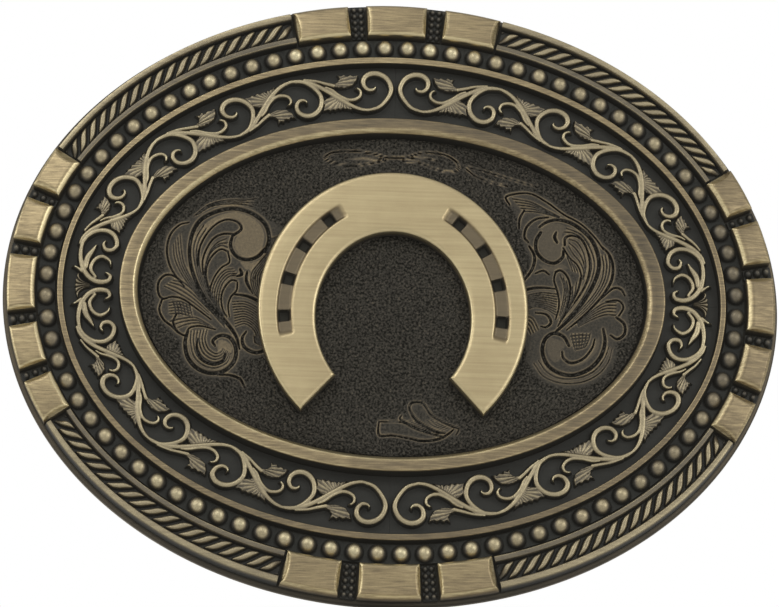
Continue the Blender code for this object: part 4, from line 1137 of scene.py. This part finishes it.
RIGHT_HATCH = (
    (((27.6, 6.7), (27.8, 4.9), (27.4, 2.9), (26.4, 1.0), (25.0, -0.8), (23.3, -2.5)),
     ((26.8, 6.3), (27.0, 4.8), (26.7, 2.9), (25.8, 1.1), (24.4, -0.7), (22.9, -2.3)),
     3),
    (((21.4, 3.5), (21.9, 2.0), (21.8, 0.2), (21.3, -2.0)),
     ((22.2, 2.7), (22.4, 1.2), (22.2, -0.5), (21.4, -2.6)),
     3),
    (((22.6, 8.4), (23.6, 8.0), (24.4, 6.6), (24.7, 4.8), (24.4, 3.0)),
     ((22.5, 7.4), (23.1, 6.4), (23.9, 5.4), (24.4, 4.2), (24.3, 3.0)),
     3),
    (((22.2, 9.9), (23.9, 9.2), (25.1, 7.6), (25.8, 5.4), (25.5, 3.2), (24.5, 0.9), (23.1, -1.3),
      (21.7, -2.9)),
     ((21.9, 9.4), (23.4, 9.1), (24.6, 7.6), (25.4, 5.3), (25.1, 3.2), (24.1, 1.1), (22.7, -1.0),
      (21.3, -2.8)),
     2),
    (((24.0, 3.2), (23.6, 1.4), (22.8, -0.4), (21.6, -2.4)),
     ((23.0, 2.0), (22.9, 0.4), (22.3, -1.4), (21.3, -3.0)),
     3),
    (((21.0, 0.9), (18.9, 1.0), (16.8, 0.4), (15.1, -0.9), (14.1, -2.7), (14.1, -4.2), (14.8, -5.1),
      (15.4, -4.9)),
     ((20.8, -1.9), (19.6, -1.2), (18.1, -0.9), (16.7, -1.6), (15.9, -2.6), (15.4, -3.5),
      (15.3, -4.1), (15.5, -4.3)),
     9),
    (((18.6, -4.0), (17.8, -2.5), (16.6, -2.3), (15.9, -3.2), (15.6, -4.0)),
     ((17.6, -4.6), (17.1, -3.7), (16.5, -3.5), (16.1, -3.8), (15.8, -4.2)),
     4),
    (((15.2, 13.7), (17.6, 13.3), (19.8, 12.2), (21.4, 11.4)),
     ((16.7, 12.0), (18.2, 12.0), (19.9, 11.7), (21.2, 11.3)),
     5),
    (((28.6, 0.1), (27.1, -0.1), (25.5, -1.2), (23.6, -2.9)),
     ((28.5, -1.7), (27.1, -1.7), (25.4, -2.4), (23.7, -3.4)),
     5),
    (((18.0, -8.5), (19.3, -10.2), (21.6, -11.0), (24.1, -10.8), (26.2, -9.7), (27.5, -8.0),
      (28.0, -6.2)),
     ((18.6, -8.1), (19.7, -9.6), (21.5, -10.4), (23.9, -10.2), (25.8, -9.2), (27.0, -7.6),
      (27.6, -6.0)),
     2),
    (((22.8, -4.4), (23.0, -5.4), (23.3, -6.6)), ((25.2, -4.3), (25.0, -5.2), (24.5, -6.2)), 6),
    (((22.7, -4.7), (24.0, -4.5), (25.2, -4.5)), ((23.2, -6.4), (24.0, -6.3), (24.8, -5.9)), 5),
    (((22.3, 6.0), (22.7, 5.0), (23.0, 4.0)), ((23.2, 5.0), (23.5, 4.4), (23.7, 3.8)), 3),
    (((23.1, 9.6), (24.2, 9.0), (25.2, 7.7)), ((22.9, 9.3), (23.9, 8.8), (24.8, 7.6)), 2),
)
CENTRE_GROOVES = (
    ((0.2, 18.8, 0.2), (1.4, 18.9, 0.12), (3.6, 19.6, 0.12), (6.2, 19.5, 0.13), (7.9, 18.6, 0.14),
     (8.2, 17.5, 0.13), (6.9, 17.1, 0.12), (5.1, 17.5, 0.12), (3.2, 18.2, 0.12), (1.0, 18.4, 0.1)),
    ((0.2, 18.8, 0.22), (-1.0, 18.8, 0.12), (-3.0, 19.3, 0.12), (-5.2, 19.5, 0.13),
     (-7.8, 19.3, 0.14), (-9.0, 18.5, 0.13), (-7.8, 17.8, 0.12), (-5.4, 17.5, 0.12),
     (-3.2, 17.9, 0.12), (-0.9, 18.5, 0.1)),
    ((1.4, 18.7, 0.09), (3.6, 18.9, 0.1), (5.6, 18.6, 0.08)),
    ((-1.4, 18.6, 0.09), (-4.0, 18.5, 0.1), (-6.4, 18.6, 0.08)),
    ((9.4, 17.9, 0.12), (11.5, 17.4, 0.13), (13.6, 16.8, 0.13), (16.0, 16.1, 0.12),
     (18.4, 15.4, 0.08)),
    ((9.2, 17.6, 0.1), (10.4, 16.7, 0.13), (12.4, 15.9, 0.13), (14.6, 15.4, 0.1)),
    ((-1.5, -16.8, 0.1), (1.2, -16.8, 0.12), (3.0, -17.6, 0.14), (4.8, -18.2, 0.13),
     (6.4, -18.5, 0.1)),
    ((-1.55, -16.8, 0.12), (-1.5, -18.6, 0.18), (0.2, -18.6, 0.15), (2.2, -18.9, 0.17),
     (4.0, -19.2, 0.2), (6.0, -18.9, 0.2), (7.2, -18.2, 0.17), (7.85, -17.6, 0.1)),
    ((2.9, -16.1, 0.12), (2.3, -15.1, 0.18), (2.4, -14.4, 0.2), (3.0, -14.1, 0.2),
     (4.0, -14.3, 0.18), (5.0, -15.7, 0.17), (6.4, -16.6, 0.17), (7.8, -17.2, 0.15),
     (8.5, -17.5, 0.13), (8.2, -18.3, 0.1)),
    ((2.3, -15.1, 0.14), (2.8, -16.1, 0.2), (4.0, -17.1, 0.22), (5.6, -17.9, 0.22),
     (6.8, -18.1, 0.12)),
    ((1.3, -15.9, 0.12), (1.1, -16.4, 0.15), (2.0, -16.9, 0.14), (3.6, -17.6, 0.13),
     (5.0, -18.1, 0.1)),
)
CENTRE_HATCH = (
    (((3.0, -16.7), (4.3, -17.4), (5.6, -18.0)), ((2.2, -16.6), (3.4, -17.2), (5.0, -18.0)), 2),
    (((4.4, -16.4), (5.4, -17.2), (6.6, -17.7)), ((5.6, -16.6), (6.4, -17.1), (7.3, -17.5)), 3),
)
CENTRE_BODY = (
    (-1.7, -16.7), (1.0, -16.6), (1.1, -15.8), (2.2, -16.2), (2.1, -14.6), (3.0, -13.9),
    (4.2, -14.2), (5.2, -15.6), (6.6, -16.5), (8.6, -17.3), (8.2, -18.5), (6.2, -19.1),
    (4.0, -19.4), (1.8, -19.0), (-1.7, -18.8),
)


# Smooth bright parts of the plumes: the flat buttons and the crescents above them
LEFT_FLATS = (
    ((-16.7, 6.0), (-16.5, 7.4), (-17.0, 8.9), (-18.3, 10.0), (-20.3, 10.6), (-22.4, 10.1),
     (-24.1, 8.9), (-25.2, 7.2), (-25.4, 5.0), (-24.8, 6.2), (-24.0, 7.6), (-22.8, 9.1),
     (-21.2, 9.8), (-19.9, 9.6), (-19.2, 8.6), (-20.0, 7.4), (-20.4, 6.2), (-19.8, 5.0),
     (-18.6, 4.5), (-17.4, 4.9)),
    ((-19.6, 3.9), (-18.2, 3.8), (-16.9, 4.2), (-17.2, 3.2), (-17.9, 2.6), (-18.4, 2.9),
     (-18.9, 2.9)),
    ((-25.3, -5.9), (-25.6, -7.4), (-25.1, -9.1), (-24.2, -9.9), (-24.7, -8.0), (-24.4, -6.2)),
    ((-22.0, -9.2), (-20.6, -8.6), (-20.2, -7.7), (-21.0, -6.8), (-22.0, -6.7), (-22.1, -8.0)),
)
RIGHT_FLATS = (
    ((18.8, 9.4), (19.2, 10.1), (20.6, 10.5), (22.0, 10.2), (21.6, 8.8), (21.9, 7.6), (21.6, 6.4),
     (20.7, 5.5), (19.6, 5.8), (18.8, 6.8), (18.7, 8.0), (19.3, 9.2)),
    ((18.6, 4.9), (20.4, 4.6), (21.6, 5.0), (22.4, 4.4), (21.4, 4.3), (20.3, 3.9), (19.2, 4.3)),
    ((20.2, -5.0), (21.6, -5.4), (22.0, -6.2), (21.2, -6.8), (21.4, -7.8), (20.6, -8.3),
     (19.8, -7.2), (19.7, -5.8)),
    ((22.0, -8.7), (23.6, -8.7), (25.2, -7.7), (26.3, -6.2), (26.3, -4.6), (25.6, -6.4),
     (24.4, -7.7), (23.0, -8.3)),
)


def cut_hatch(relief, families, radius, depth):
    """Fine lines of each family, spread evenly between its two guide paths."""
    for first, last, count in families:
        for share in np.linspace(0.0, 1.0, count):
            middle = np.asarray(first) * (1.0 - share) + np.asarray(last) * share
            taper = radius * (0.55 + 0.45 * np.sin(np.linspace(0.25, 0.95, len(middle)) * math.pi))
            relief.cut_stroke(curve(np.column_stack((middle, taper))), depth)


def panel_raster():
    """Empty raster over the whole panel."""
    return Relief(-PANEL / MM - 0.1, PANEL / MM + 0.1, 0.055)


def panel_relief():
    """Height above the panel's lowest ground, and wear, over the whole panel."""
    relief = panel_raster()
    x = relief.x[:, None]
    z = relief.z[None, :]
    body = np.zeros(relief.edge.shape)
    flats = np.zeros(relief.edge.shape)
    areas = (
        (body, (LEFT_BODY, RIGHT_BODY), 0.5, 1.0), (body, (CENTRE_BODY,), 0.3, 0.7),
        (flats, LEFT_FLATS, 0.15, 0.85), (flats, RIGHT_FLATS, 0.15, 0.45),
    )
    for field, outlines, soft, strength in areas:
        for outline in outlines:
            smooth = curve(outline + outline[:1], 0.5)
            inside, away = outline_distance(smooth, x, z)
            raised = strength * ease(np.where(inside, away, -away) / soft + 0.5)
            np.maximum(field, raised, out=field)
    for grooves in (LEFT_GROOVES, RIGHT_GROOVES, CENTRE_GROOVES):
        for groove in grooves:
            relief.cut_stroke(curve(groove), 1.0)
    fine = panel_raster()
    for families in (LEFT_HATCH, RIGHT_HATCH, CENTRE_HATCH):
        cut_hatch(fine, families, 0.13, 1.0)
    stipple = speckle(body.shape, 4.6, 11) * 0.45 + speckle(body.shape, 2.4, 12) * 0.55
    waves = speckle(body.shape, 34.0, 13)
    ground = 0.12 * stipple + 0.03 * waves
    cut = np.maximum(relief.cut, 0.75 * fine.cut)
    lip = np.clip(4.5 * blurred(cut, 14), 0.0, 1.0) ** 1.5 * np.clip(1.0 - 1.2 * cut, 0.0, 1.0)
    dots = ease((stipple - 0.52) / 0.16)
    height = 0.10 * body + (ground + 0.04 * dots) * (1.0 - 0.8 * body) + 0.03 * lip
    height = height + 0.05 - 0.26 * relief.cut - 0.14 * fine.cut * (1.0 - relief.cut)
    wear = 0.10 + 0.11 * body + 0.32 * flats + 0.62 * lip * (0.5 + 0.5 * waves)
    wear = np.minimum(wear, 0.56) + 0.10 * dots * (0.45 + 0.55 * waves) * (1.0 - 0.75 * body)
    wear = wear * (1.0 - 0.9 * np.clip(1.4 * relief.cut, 0.0, 1.0)) * (1.0 - 0.75 * fine.cut)
    return relief, height, wear


def add_panel():
    """Sunk panel behind the emblem, its grid finest where the plumes are."""
    relief, height, wear = panel_relief()
    top = top_of("centre_panel")
    highest = float(height.max())
    inner = 0.42
    places = np.concatenate((
        np.linspace(-1.0, -inner, 240, endpoint=False),
        np.linspace(-inner, inner, 200, endpoint=False), np.linspace(inner, 1.0, 241),
    ))[None, :]
    half = PANEL[1] / MM
    z = np.concatenate((
        -half * np.cos(np.linspace(0.02, 0.99, 84, endpoint=False)),
        np.linspace(-0.548 * half, 0.72 * half, 355), half * np.cos(np.linspace(0.765, 0.02, 40)),
    ))[:, None]
    x = (PANEL[0] / MM) * np.sqrt(np.clip(1.0 - (z / half) ** 2, 0.0, 1.0)) * places
    z = np.broadcast_to(z, x.shape)
    level = top + (relief.sample(height, x, z) - highest) * MM
    grid = np.stack((x * MM, front(level), z * MM), axis=-1)
    polish_and_painted_light = relief.sample(wear, x, z)
    add_relief("centre_panel", grid, polish_and_painted_light, PANEL_BRASS, "dark_panel", sharp=85.0)


# ---- Emblem ----

# Angles from the toe, in degrees: the heels, the groove's ends and the nail holes
SHOE_HEEL = 138.0
GROOVE_START = 28.0
GROOVE_END = 106.0
NAIL_HOLES = (38.0, 57.0, 76.0, 95.0)
SHOE_TOE_WEB = 8.2 * MM
SHOE_HEEL_WEB = 6.4 * MM
SHOE_ROUNDING = 0.5 * MM
# The groove's place from the outer edge, as a share of the web, and its half width and depth
GROOVE_PLACE = 0.45
GROOVE_HALF = 1.0 * MM
GROOVE_DEPTH = 0.42 * MM
HOLE_HALF = 0.72 * MM
HOLE_DEPTH = 0.8 * MM


def add_emblem():
    """Horseshoe with rounded bright edges, a groove down each branch and square nail holes."""
    low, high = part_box("emblem")
    half_width = (high.x - low.x) / 2.0
    top = top_of("emblem")
    base = top_of("centre_panel") + SEAM
    heel_drop = 1.0 - math.cos(math.radians(SHOE_HEEL))
    half_height = (high.z - low.z) / heel_drop
    centre_z = high.z - half_height
    degrees = edge_places(0.012, 460)[:, None] * 2.0 * SHOE_HEEL - SHOE_HEEL
    share = edge_places(0.11, 34)[None, :]
    web = SHOE_TOE_WEB + (SHOE_HEEL_WEB - SHOE_TOE_WEB) * (np.abs(degrees) / SHOE_HEEL) ** 2
    inset = web * share
    turn = np.radians(degrees)
    arc = half_width * np.radians(SHOE_HEEL - np.abs(degrees))
    edge = np.minimum(np.minimum(inset, web - inset), arc)
    away = np.clip(SHOE_ROUNDING - edge, 0.0, SHOE_ROUNDING)
    drop = SHOE_ROUNDING - np.sqrt(SHOE_ROUNDING ** 2 - away ** 2)
    off_groove = np.abs(inset - web * GROOVE_PLACE)
    branch = ease((np.abs(degrees) - GROOVE_START) / 4.0)
    branch = branch * ease((GROOVE_END - np.abs(degrees)) / 4.0)
    groove = ease((GROOVE_HALF - off_groove) / (0.3 * MM)) * branch
    holes = np.zeros(groove.shape)
    for hole in NAIL_HOLES:
        degree = math.radians(1.0) * (half_width - web * GROOVE_PLACE)
        square = np.maximum(np.abs(np.abs(degrees) - hole) * degree, off_groove)
        holes = np.maximum(holes, ease((HOLE_HALF - square) / (0.16 * MM)))
    crown = 0.04 * MM * np.clip(1.0 - edge / (1.4 * MM), 0.0, 1.0)
    level = top - drop - crown - GROOVE_DEPTH * groove - HOLE_DEPTH * holes
    x = (half_width - inset) * np.sin(turn)
    z = centre_z + (half_height - inset) * np.cos(turn)
    grid = np.stack(np.broadcast_arrays(x, front(level), z), axis=-1)
    polish_and_painted_light = 0.85 + 0.13 * np.clip(drop / (0.1 * MM), 0.0, 1.0) - 0.36 * groove
    polish_and_painted_light = polish_and_painted_light * (1.0 - 0.95 * holes)
    add_relief("emblem", grid, polish_and_painted_light, EMBLEM_BRASS, "bright_emblem", low=base, wall_polish=0.15,
               sharp=70.0)


# ---- Hardware behind the plate ----

BAIL_CORNER = 3.4 * MM
BRACKET_WALL = 0.8 * MM
# Where the bracket's roll ends, in degrees round the bail's pivot
ROLL_END = 212.0
BRACKET_PAD = 4.9 * MM
HOOK_BEND = 8.0 * MM
HOOK_SHANK = 1.75 * MM
HOOK_TURN = 50.0


def tube(centres, radii, tilts, sides):
    """Rows of a round bar; tilts are the directions of its circles, each a pair of unit vectors."""
    turns = np.linspace(0.0, 2.0 * math.pi, sides, endpoint=False)
    rows = []
    for centre, radius, (u, v) in zip(centres, radii, tilts):
        rows.append(centre + radius * (np.cos(turns)[:, None] * u + np.sin(turns)[:, None] * v))
    return np.stack(rows)


def add_bail():
    """Closed loop of wire with round corners, turning with the bail."""
    low, high = (np.array(corner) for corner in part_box("bail"))
    radius = (high[1] - low[1]) / 2.0
    centre = (low + high) / 2.0
    half = (high - low) / 2.0 - radius
    inner = half - BAIL_CORNER
    path = []
    for quarter, (side_x, side_z) in enumerate(((1, -1), (1, 1), (-1, 1), (-1, -1))):
        middle = np.array((side_x * inner[0], 0.0, side_z * inner[2]))
        for turn in np.radians(np.linspace(quarter * 90.0 - 90.0, quarter * 90.0, 15)):
            path.append(middle + BAIL_CORNER * np.array((math.cos(turn), 0.0, math.sin(turn))))
    path = np.array(path)
    run = np.roll(path, -1, axis=0) - np.roll(path, 1, axis=0)
    run /= np.linalg.norm(run, axis=1)[:, None]
    up = np.array((0.0, 1.0, 0.0))
    tilts = [(np.array((r[2], 0.0, -r[0])), up) for r in run]
    sides = 32
    grid = tube(centre + path, [radius] * len(path), tilts, sides)
    polish_and_painted_light = 0.74 + 0.12 * np.cos(np.linspace(0.0, 2.0 * math.pi, sides, endpoint=False))
    polish_and_painted_light = np.broadcast_to(polish_and_painted_light, grid.shape[:2])
    add_solid("bail", grid, polish_and_painted_light, HARDWARE_BRASS, "bail_wire", wrap=True, body="bail")


def add_bracket():
    """Rolled brass strip round the pivot of the bail."""
    low, high = (np.array(corner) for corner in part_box("bail_bracket"))
    outer = (high[1] - low[1]) / 2.0
    wall = BRACKET_WALL
    centre = np.array((high[0] - outer, (low[1] + high[1]) / 2.0))
    turns = np.radians(np.linspace(-90.0, ROLL_END, 61))
    ring = np.stack((np.cos(turns), np.sin(turns)), axis=1)
    end = np.radians(np.linspace(ROLL_END, ROLL_END + 180.0, 9))[1:-1]
    lip = np.stack((np.cos(end), np.sin(end)), axis=1)
    lip = centre + (outer - wall / 2.0) * ring[-1] + wall / 2.0 * lip
    pad_end = low[0] + BRACKET_PAD
    foot = low[1]
    pad_top = foot + wall + 0.1 * MM
    flange = [
        (pad_end + 0.1 * MM, foot + wall), (pad_end, pad_top), (low[0] + 0.15 * MM, pad_top),
        (low[0], foot + wall - 0.05 * MM), (low[0], foot + 0.1 * MM), (low[0] + 0.1 * MM, foot),
    ]
    inside = (centre + (outer - wall) * ring)[::-1]
    outline = np.concatenate((centre + outer * ring, lip, inside, flange))
    rows = []
    for place in (low[2], high[2]):
        rows.append(np.stack((outline[:, 0], outline[:, 1], np.full(len(outline), place)), axis=1))
    grid = np.stack(rows)
    polish_and_painted_light = np.full(grid.shape[:2], 0.68)
    piece = add_solid("bail_bracket", grid, polish_and_painted_light, HARDWARE_BRASS, "back_hardware", sharp=30.0)
    soften(piece, 0.12 * MM)


def soften(piece, width):
    """Small rounding on a piece's square edges."""
    rounding = piece.modifiers.new("edges", "BEVEL")
    rounding.width = width
    rounding.segments = 2
    rounding.limit_method = "ANGLE"
    rounding.angle_limit = math.radians(60.0)


def add_hook():
    """Domed pad, and the bent stud with its ball tip."""
    low, high = (np.array(corner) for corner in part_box("hook_pad"))
    centre = np.array(((low[0] + high[0]) / 2.0, 0.0, (low[2] + high[2]) / 2.0))
    radius = (high[0] - low[0]) / 2.0
    thick = high[1] - low[1]
    side_x = np.array((1.0, 0.0, 0.0))
    side_z = np.array((0.0, 0.0, 1.0))
    profile = (
        (0.96, 0.0), (1.0, 0.06), (1.0, 0.62), (0.98, 0.78), (0.93, 0.92), (0.86, 1.0), (0.5, 1.0),
        (0.2, 1.0),
    )
    centres = [centre + np.array((0.0, low[1] + thick * level, 0.0)) for _, level in profile]
    radii = [radius * share for share, _ in profile]
    grid = tube(centres, radii, [(side_x, side_z)] * len(profile), 64)
    polish_and_painted_light = np.full(grid.shape[:2], 0.66)
    add_solid("hook_pad", grid, polish_and_painted_light, HARDWARE_BRASS, "back_hardware", sharp=40.0)
    foot_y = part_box("hook_stud")[0].y
    # Shares of the hook's length, and its radius there as a share of the shank's
    stations = curve((
        (0.0, 0.0, 1.45), (0.05, 0.0, 1.2), (0.12, 0.0, 1.06), (0.22, 0.0, 1.0), (0.45, 0.0, 1.0),
        (0.68, 0.0, 1.0), (0.76, 0.0, 1.1), (0.84, 0.0, 1.3), (0.92, 0.0, 1.38), (1.0, 0.0, 1.3),
        (1.07, 0.0, 1.03), (1.115, 0.0, 0.65), (1.13, 0.0, 0.3),
    ), 0.02)
    centres = []
    tilts = []
    for share, _, _ in stations:
        tilt = math.radians(HOOK_TURN) * share
        centres.append(np.array((
            centre[0] - HOOK_BEND + HOOK_BEND * math.cos(tilt),
            foot_y + HOOK_BEND * math.sin(tilt), centre[2],
        )))
        tilts.append((np.array((math.cos(tilt), math.sin(tilt), 0.0)), side_z))
    grid = tube(centres, stations[:, 2] * HOOK_SHANK, tilts, 40)
    polish_and_painted_light = np.broadcast_to(0.64 + 0.20 * ease((stations[:, :1] - 0.6) / 0.3), grid.shape[:2])
    add_solid("hook_stud", grid, polish_and_painted_light, HARDWARE_BRASS, "back_hardware", sharp=50.0)


# ---- Floor, light and camera ----

FLOOR_HALF = 1.5
CAMERA_AWAY = Vector((-0.0253, -0.4427, -0.1534))
CAMERA_UP = Vector((-0.0319, -0.3266, 0.9446))
FOCAL_LENGTH = 170.5
# Brightest side of the surroundings, and the strength behind and on that side
GLOW_SIDE = Vector((0.15, -0.92, 0.36)).normalized()
GLOW_LOW = 0.40
GLOW_HIGH = 0.86


def add_floor():
    """Pale floor under the buckle, see-through from beneath so that a low camera isn't blocked."""
    level = CAD_BOX[0][2]
    turns = ((-1, -1), (1, -1), (1, 1), (-1, 1))
    corners = [(x * FLOOR_HALF, y * FLOOR_HALF, level) for x, y in turns]
    mesh = bpy.data.meshes.new("floor")
    mesh.from_pydata(corners, [], [(0, 1, 2, 3)])
    floor = bpy.data.objects.new("floor", mesh)
    bpy.context.collection.objects.link(floor)
    material = bpy.data.materials.new("floor_paint")
    material.use_nodes = True
    tree = material.node_tree
    paint = wire(tree, tree.nodes["Principled BSDF"], {
        "Base Color": (0.86, 0.86, 0.85, 1.0), "Roughness": 0.7,
        "Emission Color": (1.0, 1.0, 1.0, 1.0), "Emission Strength": 0.14,
    })
    clear = wired(tree, "ShaderNodeBsdfTransparent", {})
    side = wired(tree, "ShaderNodeNewGeometry", {})
    mix = wired(tree, "ShaderNodeMixShader", {
        "Fac": side.outputs["Backfacing"], 1: paint.outputs["BSDF"], 2: clear.outputs["BSDF"],
    })
    wire(tree, tree.nodes["Material Output"], {"Surface": mix.outputs["Shader"]})
    mesh.materials.append(material)


def add_world():
    """White surroundings whose reflections are brightest up and in front of the face."""
    world = bpy.data.worlds.new("studio")
    bpy.context.scene.world = world
    world.use_nodes = True
    tree = world.node_tree
    backdrop = wire(tree, tree.nodes["Background"], {
        "Color": (1.0, 1.0, 1.0, 1.0), "Strength": 1.0,
    })
    coordinates = wired(tree, "ShaderNodeTexCoord", {})
    towards = wired(tree, "ShaderNodeVectorMath", {
        0: coordinates.outputs["Generated"], 1: GLOW_SIDE,
    }, operation="DOT_PRODUCT")
    glow = wired(tree, "ShaderNodeMapRange", {
        "Value": towards.outputs["Value"], "From Min": -0.35, "From Max": 1.0,
        "To Min": GLOW_LOW, "To Max": GLOW_HIGH,
    }, interpolation_type="SMOOTHSTEP")
    lit = wired(tree, "ShaderNodeBackground", {"Strength": glow.outputs["Result"]})
    rays = wired(tree, "ShaderNodeLightPath", {})
    mix = wired(tree, "ShaderNodeMixShader", {
        "Fac": rays.outputs["Is Camera Ray"], 1: lit.outputs["Background"],
        2: backdrop.outputs["Background"],
    })
    wire(tree, tree.nodes["World Output"], {"Surface": mix.outputs["Shader"]})


def add_softbox(name, place, size, power):
    """Square area light turned towards the buckle."""
    light = bpy.data.lights.new(name, "AREA")
    light.size = size
    light.energy = power
    lamp = bpy.data.objects.new(name, light)
    bpy.context.collection.objects.link(lamp)
    lamp.location = place
    lamp.rotation_mode = "QUATERNION"
    lamp.rotation_quaternion = (-Vector(place)).to_track_quat("-Z", "Y")


def add_camera():
    """Camera low in front of the buckle, looking up at it from 19 degrees below its axis."""
    middle = Vector((0.0, front(1.5 * MM), 0.0))
    back = CAMERA_AWAY.normalized()
    right = CAMERA_UP.cross(back).normalized()
    turned = Matrix((right, back.cross(right), back)).transposed()
    lens = bpy.data.cameras.new("camera")
    lens.lens = FOCAL_LENGTH
    lens.sensor_width = 36.0
    lens.shift_x = -0.0046
    lens.shift_y = -0.0116
    lens.clip_start = 0.01
    camera = bpy.data.objects.new("camera", lens)
    bpy.context.collection.objects.link(camera)
    camera.matrix_world = Matrix.Translation(middle + CAMERA_AWAY) @ turned.to_4x4()
    bpy.context.scene.camera = camera


add_base_plate()
add_rings()
add_rim()
for quarter_name in QUARTERS:
    add_rope_channel(quarter_name)
    add_rope(quarter_name)
add_bead_border()
add_scrolls()
add_palmette("palmette_right", 1.0)
add_palmette("palmette_left", -1.0)
add_panel()
add_emblem()
add_bail()
add_bracket()
add_hook()
add_floor()
add_world()
add_softbox("key_light", (-0.25, -0.60, 0.42), 0.35, 1.1)
add_softbox("fill_light", (0.42, -0.50, 0.16), 0.30, 0.9)
add_softbox("side_light", (-0.62, -0.24, 0.22), 0.30, 0.8)
add_camera()
bpy.context.scene.view_settings.view_transform = "Standard"
